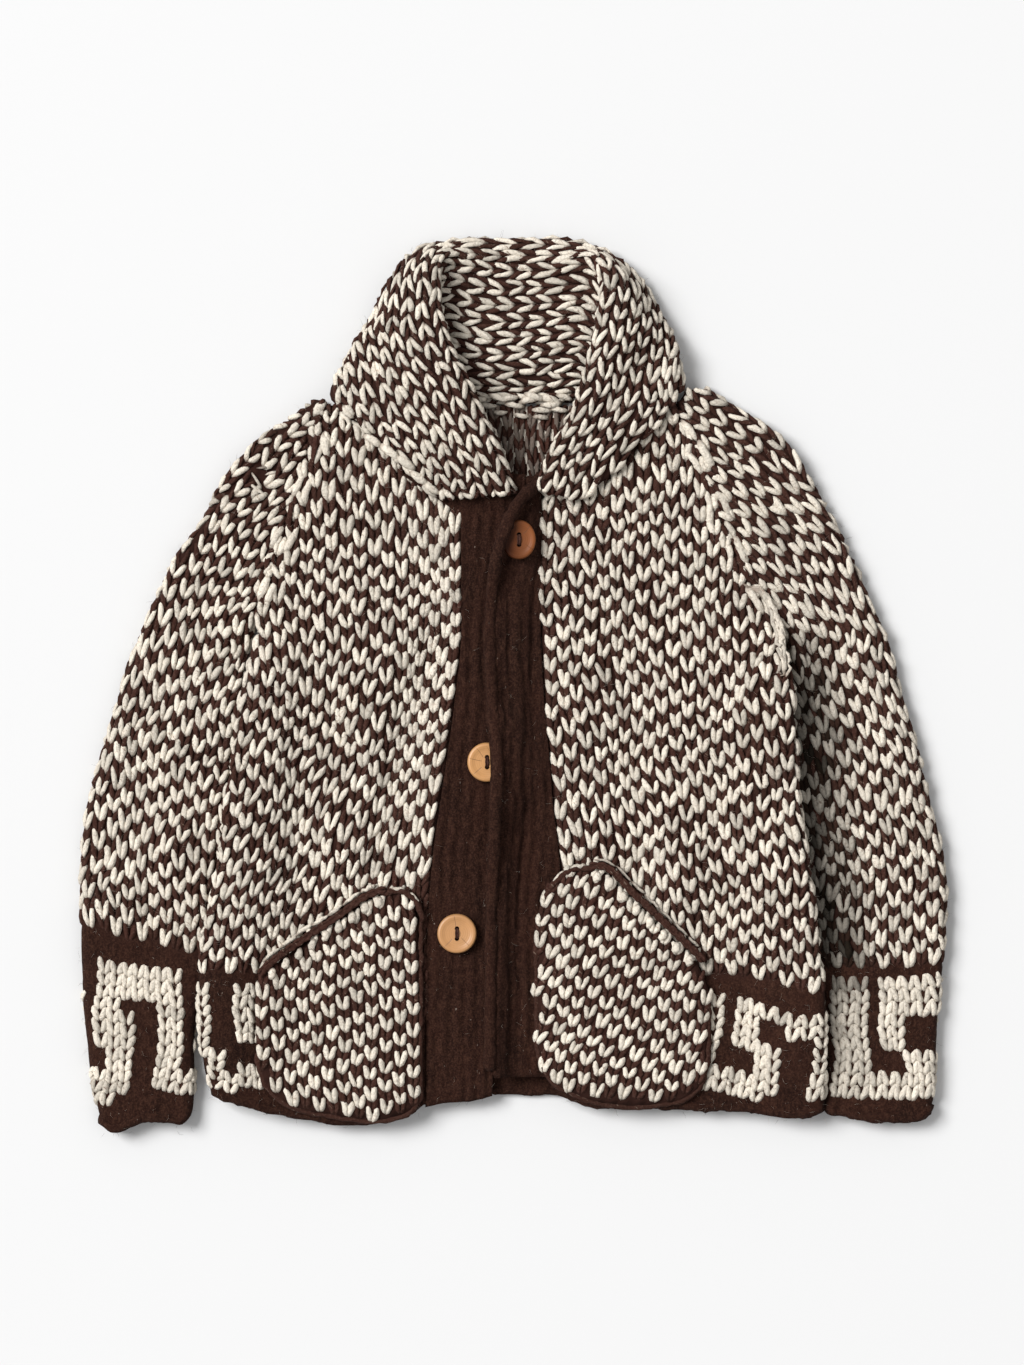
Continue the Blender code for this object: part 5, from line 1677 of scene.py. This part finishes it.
def knit_back():
    wale, row, _, _ = sizes_mm()
    fabric = back_fabric()
    chart_seed, seed = SEEDS["back"]
    chart = straight_chart(lambda y: 0.0, wale, row, chart_seed)
    yarns = knit(fabric, chart, BACK_CHART, patterned("back", HEM_Y + FIRST_ROW, row), seed)
    # painted shade on the inside of the neck, through a low dye
    inside = knit(fabric, chart, NECK_CHART, in_shade, seed + 1, face=-1, shape=NECK_SHAPE)
    neck = yarn_piece("inside_of_the_neck", inside, wool())
    finish_panel("back", fabric, yarns, level_up, wale, columns=110, sides=4,
                 extra=[neck])


def knit_sleeve(side):
    wale, row, _, _ = sizes_mm()
    wale, row = wale * SLEEVE_WALE_SHARE, row * SLEEVE_ROW_SHARE
    name = "sleeve_" + side
    fabric = sleeve_fabric(side)
    chart_seed, seed = SEEDS[name]

    def chart(a, b):
        level = SLEEVE_ROW_START[side] + b * row
        level = level - COURSES_CLOSER * np.maximum(0, level - COURSES_CLOSER_FROM) ** 2
        near = np.clip(a, -WALES_SHOWN, WALES_SHOWN)
        up = level
        for _ in range(5):
            up = level + over(course_slope[side], up) * near * wale
        fan = np.interp(up, *zip(*WALE_FAN))
        across = over(sleeve_wale[side], up) + (a + near * (fan - 1)) * wale
        return uneven_knit(across, up, chart_seed)

    def level_at(across, up):
        return up - over(course_slope[side], up) * (across - over(sleeve_wale[side], up))

    def whole(across, up):
        """Everywhere but the worn place."""
        spot = fabric.at(across, up)[0]
        x, y, half_width, half_height = WORN_PLACE
        worn = np.hypot((spot[:, 0] - x) / half_width, (spot[:, 1] - y) / half_height)
        return (worn > 1) | (spot[:, 2] < WALL) | (side == "left")

    yarns = knit(fabric, chart, SLEEVE_CHART, patterned(name, SLEEVE_ROW_START[side], row),
                 seed, keep=whole)
    # painted shadow on the left sleeve beside the front's raised edge
    if side == "left":
        yarns = [in_deep_shade(part) for part in yarns]
    finish_panel(name, fabric, yarns, level_at, wale, columns=66)


def knit_collar(columns=60, rise=4.0):
    _, _, wale, row = sizes_mm()
    fabric = collar_fabric()
    length = fabric.ups[-1]
    chart_seed, seed = SEEDS["collar"]

    def chart(a, b):
        return uneven_knit((a + 0.5) * wale, length - 2 - b * row, chart_seed)

    numbers = Chart(COLLAR_WALES, (0, int(length / row) + 2))
    yarns = knit(fabric, chart, numbers, all_checks, seed, shape=COLLAR_SHAPE)
    stitches = yarn_piece("stitches_collar", yarns, wool())
    ups = spread(fabric.ups[0], fabric.ups[-1], rise)
    wall = wall_piece("knit_collar", fabric, *wall_grid(fabric, ups, columns), BACKING_OUT,
                      BACKING_IN, backing(), "two_colour_knit")
    hairs = fibres("collar", fabric, FIBRES_ON_COLLAR, seed + 1)
    cut(fabric)


def knit_band(side, columns=50, rise=2.8):
    name = "band_" + side
    fabric = band_fabric(side)

    def relief(across, up):
        """Uneven ribs, lower towards the free edge, and felted lumps."""
        free = over(band_free[side], up)
        ribs = np.cos((across - free) / RIB_PITCH * math.tau + 1.3 * wander(across, up, 80.0, 61))
        depth = 0.40 + 0.22 * wander(across, up * 0.6, 45.0, 65)
        lumps = 0.22 * wander(across * 1.6, up * 0.5, 9.0, 62) + 0.35 * wander(
            across, up, 4.5, 64)
        edge = np.minimum(np.abs(across - free), 4.0) / 4.0
        return 2.0 * np.sqrt(edge) - 0.6 + depth * ribs + lumps

    ups = spread(fabric.ups[0], fabric.ups[-1], rise)
    wall = wall_piece("knit_" + name, fabric, *wall_grid(fabric, ups, columns), BAND_OUT,
                      BAND_IN, felted(), "brown_rib", relief)
    extra = [fibres(name, fabric, FIBRES_ON_BAND, seed=63, pale=0.03, length=(2.0, 5.0),
                    radius=0.045, slot="brown_rib")]
    if side == "left":
        extra.append(yarn_piece("ridge_" + name, [ridge_roll()], felted(), "brown_rib", 12))
    cut(fabric)


def ridge_roll():
    """The left band's free edge, which climbs over the top button."""
    over_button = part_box(BUTTON_TOP.name)[1].z / MM + RIDGE_ROLL * 0.55
    line = []
    for x, y in RIDGE_LINE:
        from_button = math.hypot(x - BUTTON_TOP.x, y - BUTTON_TOP.y)
        level = band_level(max(x, band_free["left"](y) + 2.0), min(y, BAND_TOP_Y), "left") + 1.6
        climb = smooth((RIDGE_OVER_BUTTON - from_button) / RIDGE_CLIMB)
        line.append((x, y, mix(level, max(level, over_button), climb)))
    points = place_along(rounded(line, 12), RIDGE_RINGS)
    run = np.arange(len(points)) * 2.0
    fat = RIDGE_ROLL * (1 + 0.10 * wander(run, 0.0, 40.0, 321) + 0.07 * wander(run, 0.0, 9.0, 322))
    fat[[0, -1]] *= 0.5
    return one_yarn(points, upward(points), fat, fat * 0.9)


def knit_pocket(side):
    name = "pocket_" + side
    fabric = pocket_fabric(side)
    first, last = pocket_span(side)
    wale, row, slope, lean = POCKET_KNIT[side]
    chart_seed, seed = SEEDS["pocket"]

    def chart(a, b):
        up = POCKET_LOW_Y + b * row + slope * a * wale
        across = first + (a + 0.5) * wale + lean * (up - POCKET_LOW_Y - POCKET_LEAN_Y)
        return uneven_knit(across, up, chart_seed)

    def within(across, up):
        return np.array([pocket_inset(side, x, y) > POCKET_PLAIN_SIDE
                         and y > pocket_bottom[side](x) + POCKET_PLAIN_EDGE
                         for x, y in zip(across, up)])

    yarns = knit(fabric, chart, POCKET_CHART, all_checks, seed, shape=POCKET_SHAPE, keep=within)
    stitches = yarn_piece("stitches_" + name, yarns, wool())
    wall = wall_piece("knit_" + name, fabric, *pocket_grid(side), POCKET_OUT, BACKING_IN,
                      backing(), "two_colour_knit")
    length = (max(p.top for p in POCKETS[side]) - min(p.bottom for p in POCKETS[side])) * MM
    heights = [pocket_top[side](x) - pocket_bottom[side](x) for x in spread(first, last, 2.0)]


def pocket_grid(side, columns=30, rows=24):
    """Places from a pocket's bottom line to its slanted top."""
    x = np.linspace(*pocket_span(side), columns)
    top, bottom = (np.array([curve[side](v) for v in x]) for curve in (pocket_top, pocket_bottom))
    up = bottom + (top - bottom) * np.linspace(0, 1, rows)[:, None]
    return np.broadcast_to(x, up.shape), up


def edging_line(side, count=40):
    """The middle of an edging, just beyond its pocket's slanted top."""
    line = []
    for x in np.linspace(*EDGING_SPAN[side], count):
        slope = pocket_top[side](x + 0.5) - pocket_top[side](x - 0.5)
        along = np.array([1.0, slope]) / math.hypot(1, slope)
        off = np.array([-along[1], along[0]]) * (EDGING_RADIUS + 2 * SEAM)
        spot = x + off[0], pocket_top[side](x) + off[1]
        line.append((*spot, resting_level(*spot) + EDGING_RADIUS))
    return line


def chain_stitches(line, reach, pitch, seed, fat):
    """Slanting loops that wrap a cord, one pair for each stitch of a crocheted chain."""
    line = np.asarray(line, float)
    cells = 6
    count = max(3, int(steps_of(line).sum() / pitch))
    fine = place_along(line, count * cells + 1)
    draw = np.random.default_rng(seed)
    lines = []
    for k in range(count):
        for hand in (-1, 1):
            strand = []
            for along, side, height in CHAIN_LOOP:
                at = int(k * cells + cells / 2 + along * cells)
                at = min(len(fine) - 2, max(1, at))
                tangent = unit(fine[at + 1] - fine[at - 1])
                across = np.array([-tangent[1], tangent[0], 0.0])
                strand.append(fine[at] + across * hand * side * reach * 0.8
                              + np.array([0, 0, height * 0.9]) + draw.normal(0, 0.12, 3))
            lines.append(strand)
    lines = np.array(lines)
    widths = np.broadcast_to(np.array(CHAIN_LOOP_FAT) * fat, lines.shape[:2]).copy()
    return Yarns(lines, upward(lines), widths, widths * 0.9, np.zeros(len(lines)),
                 draw.normal(0, 1, len(lines)))


def outer_strands(side, line, off=3.6, height=3.4):
    """The uneven cream strand beyond an edging, in short pieces."""
    outer = []
    for (x, y, _), following in zip(line[2:-3], line[3:]):
        along = np.array([following[0] - x, following[1] - y])
        along = along / np.linalg.norm(along)
        spot = x - along[1] * off, y + along[0] * off
        outer.append((*spot, front_level(*spot) + height))
    fat, dye = OUTER_STRAND[side]
    draw = np.random.default_rng(85)
    strands = []
    for k in range(0, len(outer) - 3, 5):
        shift = draw.uniform(-0.5, 0.5)
        part = [(x, y + shift, z) for x, y, z in outer[k:k + 6]]
        strands.append(cord_yarn(part, fat * draw.uniform(0.8, 1.15), dye, seed=700 + k,
                                 wobble=0.5, step=2.0))
    return strands


def edging_loops(side, pitch=7.4):
    """Cream loops that hang from an edging over the pocket."""
    start, end = EDGING_SPAN[side]
    loops = []
    for x in np.arange(start + 5, end - 1, pitch):
        top = pocket_top[side](x) - 1.6
        level = resting_level(x, top) + WALL / 2
        line = rounded([(x, top + 1.4, level + 0.6), (x - 0.4, top - 1.6, level + 2.4),
                        (x - 1.6, top - 5.0, level + 1.0)], 3)
        loops.append(cord_yarn(line, radius=2.1, dye=1.0, seed=600 + int(x), depth=1.5,
                               wobble=0.2, step=1.6))
    return loops


def pocket_rim(side, inset=1.0, count=40):
    """The dark strand down a pocket's sides and along its bottom line."""
    first, last = pocket_span(side)
    first, last = first + inset, last - inset
    rim = [(x, pocket_bottom[side](x) + 0.8) for x in np.linspace(first, last, count)]
    rim = [(first, pocket_top[side](first)), *rim, (last, pocket_top[side](last) - 2)]
    return cord_yarn([(x, y, resting_level(x, y) + 0.9) for x, y in rim], radius=1.5,
                     dye=0.0, seed=84, wobble=0.5)


def corner_strands(side):
    """The edging goes on as a dark strand with cream bits round the pocket's corner."""
    corner = rounded([(x, y, resting_level(x, y) + 1.9) for x, y in POCKET_CORNER[side]], 3)
    strands = [cord_yarn(corner, radius=1.9, dye=0.0, seed=86, wobble=0.5, step=2.0)]
    for k in range(2, len(corner) - 3, 4):
        part = [(x, y + 1.6, z + 0.5) for x, y, z in corner[k:k + 4]]
        strands.append(cord_yarn(part, radius=1.1, dye=0.9, seed=720 + k, wobble=0.5,
                                 step=1.6))
    return strands


def crochet_edging(side):
    line = edging_line(side)
    strands = [cord_yarn(line, radius=1.7, dye=0.0, seed=81),
               chain_stitches(line, reach=2.3, pitch=5.2, seed=82, fat=1.05)]
    yarn_piece("crochet_edging_" + side, strands, wool(), "brown_crochet", 6,
               ["edging_" + side])
    strands = [*outer_strands(side, line), *edging_loops(side), pocket_rim(side),
               *corner_strands(side)]
    yarn_piece("pocket_seam_" + side, strands, wool(), sides=8)


def turn_button(number, button):
    low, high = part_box(button.name)
    base = low.z / MM
    tilted = 1.0
    if button is BUTTON_TOP:
        button = button._replace(x=button.x - TUCKED_UNDER_RIDGE)
        tilted = TILTED_SHARE
    disc = turned_disc(button, base, tilted, wood_material(
        "pale wood of " + button.name, (button.x, button.y, base), number))
    settle(disc, "button_wood", button.name)
    half, top = HOLE_SPACING / 2, high.z / MM
    loops = []
    for k, off in enumerate((-0.42, 0.42)):
        line = [(button.x + off * bend, button.y + along, top - deep) for bend, along, deep in (
            (1, -half, 2.8), (1, 0.4 - half, 0.9), (1.4, 0, 0.2), (1, half - 0.4, 0.9),
            (1, half, 2.8))]
        loops.append(cord_yarn(rounded(line, 4), radius=0.62, dye=0.0, seed=90 + k,
                               wobble=0.05, step=0.8))
    yarn_piece("thread_" + button.name, loops, wool(), "brown_crochet", 6)


def turned_disc(button, base, tilted, material):
    """A turned disc with a rounded rim, a dished face and two holes one above the other."""
    turns = np.arange(DISC_SEGMENTS) / DISC_SEGMENTS * math.tau
    narrowed = np.where(np.cos(turns) > 0, tilted ** 2, tilted)
    rings = [np.stack([button.x + r * narrowed * np.cos(turns), button.y + r * np.sin(turns),
                       np.full(DISC_SEGMENTS, base + z)], -1) for r, z in DISC_PROFILE]
    index = np.arange(len(rings) * DISC_SEGMENTS).reshape(len(rings), DISC_SEGMENTS)
    turned = np.roll(index, -1, axis=1)
    quads = np.stack([index[:-1], turned[:-1], turned[1:], index[1:]], -1).reshape(-1, 4)
    disc = raw_mesh("wood_" + button.name, np.concatenate(rings), quads, material,
                    [index[0, ::-1], index[-1]])
    for side in (-1, 1):
        drill_hole(disc, button.x, button.y + side * HOLE_SPACING / 2, base)
    disc.data.shade_smooth()
    disc.data.set_sharp_from_angle(angle=math.radians(SHARP_ANGLE))
    return disc


def drill_hole(disc, x, y, z):
    deselect()
    bpy.ops.mesh.primitive_cylinder_add(
        vertices=HOLE_SEGMENTS, radius=HOLE_RADIUS * MM, depth=4 * BUTTON_THICK * MM,
        location=(x * MM, y * MM, z * MM))
    drill = bpy.context.object
    hole = disc.modifiers.new("thread hole", "BOOLEAN")
    hole.operation = "DIFFERENCE"
    hole.object = drill
    deselect()
    disc.select_set(True)
    bpy.context.view_layer.objects.active = disc
    bpy.ops.object.modifier_apply(modifier=hole.name)
    bpy.data.objects.remove(drill, do_unlink=True)


def sew_seams():
    draw = np.random.default_rng(95)
    yarns = []
    for number, thick in enumerate(SEAM_STITCHES):
        across = np.array([thick.y1 - thick.y0, thick.x0 - thick.x1])
        across = across / np.linalg.norm(across) * draw.uniform(-0.8, 0.8)
        middle = ((thick.x0 + thick.x1) / 2 + across[0], (thick.y0 + thick.y1) / 2 + across[1])
        line = rounded([(thick.x0, thick.y0, thick.z - 1.6), (*middle, thick.z + 0.5),
                        (thick.x1, thick.y1, thick.z - 1.4)], 5)
        flat = 0.45 if thick.dye < 0 else 0.8
        yarns.append(cord_yarn(line, thick.fat, max(thick.dye, 0.0), seed=400 + number,
                               depth=thick.fat * flat, wobble=0.15, step=2.0))
    for shift, fat, seed in SELVEDGE_STRANDS:
        line = rounded([(x + shift, y - shift * 0.4, z - abs(shift) * 0.25)
                        for x, y, z in SELVEDGE], 6)
        yarns.append(cord_yarn(line, fat, SELVEDGE_DYE, seed, depth=fat * 0.8, wobble=1.5,
                               step=2.6))
    yarn_piece("seam_stitches", yarns, wool(), sides=8)


def light_room(scene):
    world = bpy.data.worlds.new("soft room")
    scene.world = world
    world.use_nodes = True
    sky = world.node_tree.nodes["Background"].inputs
    sky["Color"].default_value = (1.0, 1.0, 1.0, 1.0)
    sky["Strength"].default_value = ROOM_LIGHT
    for each in LAMPS:
        lamp = bpy.data.lights.new(each.name, "AREA")
        lamp.shape = "SQUARE"
        lamp.size = each.size
        lamp.energy = each.power
        holder = bpy.data.objects.new(each.name, lamp)
        scene.collection.objects.link(holder)
        holder.location = each.place
        holder.rotation_euler = (-Vector(each.place)).to_track_quat("-Z", "Y").to_euler()


def set_camera(scene):
    height = scene.jacket_sizes.camera_height
    view = bpy.data.cameras.new("camera")
    view.sensor_fit = "VERTICAL"
    view.sensor_height = SENSOR
    view.lens = SENSOR * height / FRAME_HEIGHT
    eye = bpy.data.objects.new("camera", view)
    scene.collection.objects.link(eye)
    eye.location = (*FRAME_CENTRE, height + FRAME_LEVEL)
    scene.camera = eye
    scene.view_settings.view_transform = "Standard"
    scene.view_settings.look = "None"


# ------------------------------------------------------------------ the add-on

class JACKET_OT_back(bpy.types.Operator):
    """Knit the back, which lies on the surface"""
    bl_idname = "jacket.back"
    bl_label = "Back"

    def execute(self, context):
        knit_back()
        return {"FINISHED"}


class JACKET_OT_sleeves(bpy.types.Operator):
    """Knit the two sleeves with their patterned cuffs"""
    bl_idname = "jacket.sleeves"
    bl_label = "Sleeves"

    def execute(self, context):
        for side in SIDES:
            knit_sleeve(side)
        return {"FINISHED"}


class JACKET_OT_fronts(bpy.types.Operator):
    """Knit the two fronts with their patterned hems"""
    bl_idname = "jacket.fronts"
    bl_label = "Fronts"

    def execute(self, context):
        for side in SIDES:
            knit_front(side)
        return {"FINISHED"}


class JACKET_OT_collar(bpy.types.Operator):
    """Knit the shawl collar in one strip, from front to front"""
    bl_idname = "jacket.collar"
    bl_label = "Shawl collar"

    def execute(self, context):
        knit_collar()
        return {"FINISHED"}


class JACKET_OT_bands(bpy.types.Operator):
    """Knit the felted, ribbed bands that carry the buttons"""
    bl_idname = "jacket.bands"
    bl_label = "Button bands"

    def execute(self, context):
        for side in SIDES:
            knit_band(side)
        return {"FINISHED"}


class JACKET_OT_pockets(bpy.types.Operator):
    """Knit the two patch pockets"""
    bl_idname = "jacket.pockets"
    bl_label = "Pockets"

    def execute(self, context):
        for side in SIDES:
            knit_pocket(side)
        return {"FINISHED"}


class JACKET_OT_edgings(bpy.types.Operator):
    """Crochet the thick brown edgings of the pockets and sew the pockets on"""
    bl_idname = "jacket.edgings"
    bl_label = "Pocket edgings"

    def execute(self, context):
        for side in SIDES:
            crochet_edging(side)
        return {"FINISHED"}


class JACKET_OT_seams(bpy.types.Operator):
    """Sew the raglan seams, the neck seam and the selvedge with thick uneven stitches"""
    bl_idname = "jacket.seams"
    bl_label = "Seam stitches"

    def execute(self, context):
        sew_seams()
        return {"FINISHED"}


class JACKET_OT_buttons(bpy.types.Operator):
    """Turn the three wooden buttons and sew them on"""
    bl_idname = "jacket.buttons"
    bl_label = "Wooden buttons"

    def execute(self, context):
        for number, button in enumerate(BUTTONS):
            turn_button(number, button)
        return {"FINISHED"}


class JACKET_OT_stage(bpy.types.Operator):
    """Set out the floor, the soft light and the camera"""
    bl_idname = "jacket.stage"
    bl_label = "Stage"

    def execute(self, context):
        deselect()
        bpy.ops.mesh.primitive_plane_add(size=FLOOR_SIZE, location=(0, 0, 0))
        floor = context.object
        floor.name = "floor"
        floor.data.materials.append(floor_material("pale floor"))
        light_room(context.scene)
        set_camera(context.scene)
        return {"FINISHED"}


class JACKET_PT_panel(bpy.types.Panel):
    """Sizes, colours and the steps that make the jacket"""
    bl_idname = "JACKET_PT_panel"
    bl_label = "Knitted jacket"
    bl_space_type = "VIEW_3D"
    bl_region_type = "UI"
    bl_category = "Knitted jacket"

    def draw(self, context):
        for group in (context.scene.jacket_sizes, context.scene.jacket_colours):
            for name in group.__annotations__:
                self.layout.prop(group, name)
        for step in STEPS:
            self.layout.operator(step.bl_idname)


STEPS = (JACKET_OT_back, JACKET_OT_sleeves, JACKET_OT_fronts, JACKET_OT_collar,
         JACKET_OT_bands, JACKET_OT_pockets, JACKET_OT_edgings, JACKET_OT_seams,
         JACKET_OT_buttons, JACKET_OT_stage)
CLASSES = (JacketSizes, JacketColours, JACKET_PT_panel) + STEPS


def register():
    for each in CLASSES:
        bpy.utils.register_class(each)
    bpy.types.Scene.jacket_sizes = bpy.props.PointerProperty(type=JacketSizes)
    bpy.types.Scene.jacket_colours = bpy.props.PointerProperty(type=JacketColours)


def unregister():
    del bpy.types.Scene.jacket_colours
    del bpy.types.Scene.jacket_sizes
    for each in reversed(CLASSES):
        bpy.utils.unregister_class(each)


def main():
    register()
    bpy.ops.jacket.back()
    bpy.ops.jacket.sleeves()
    bpy.ops.jacket.fronts()
    bpy.ops.jacket.collar()
    bpy.ops.jacket.bands()
    bpy.ops.jacket.pockets()
    bpy.ops.jacket.edgings()
    bpy.ops.jacket.seams()
    bpy.ops.jacket.buttons()
    bpy.ops.jacket.stage()


if __name__ == "__main__":
    main()
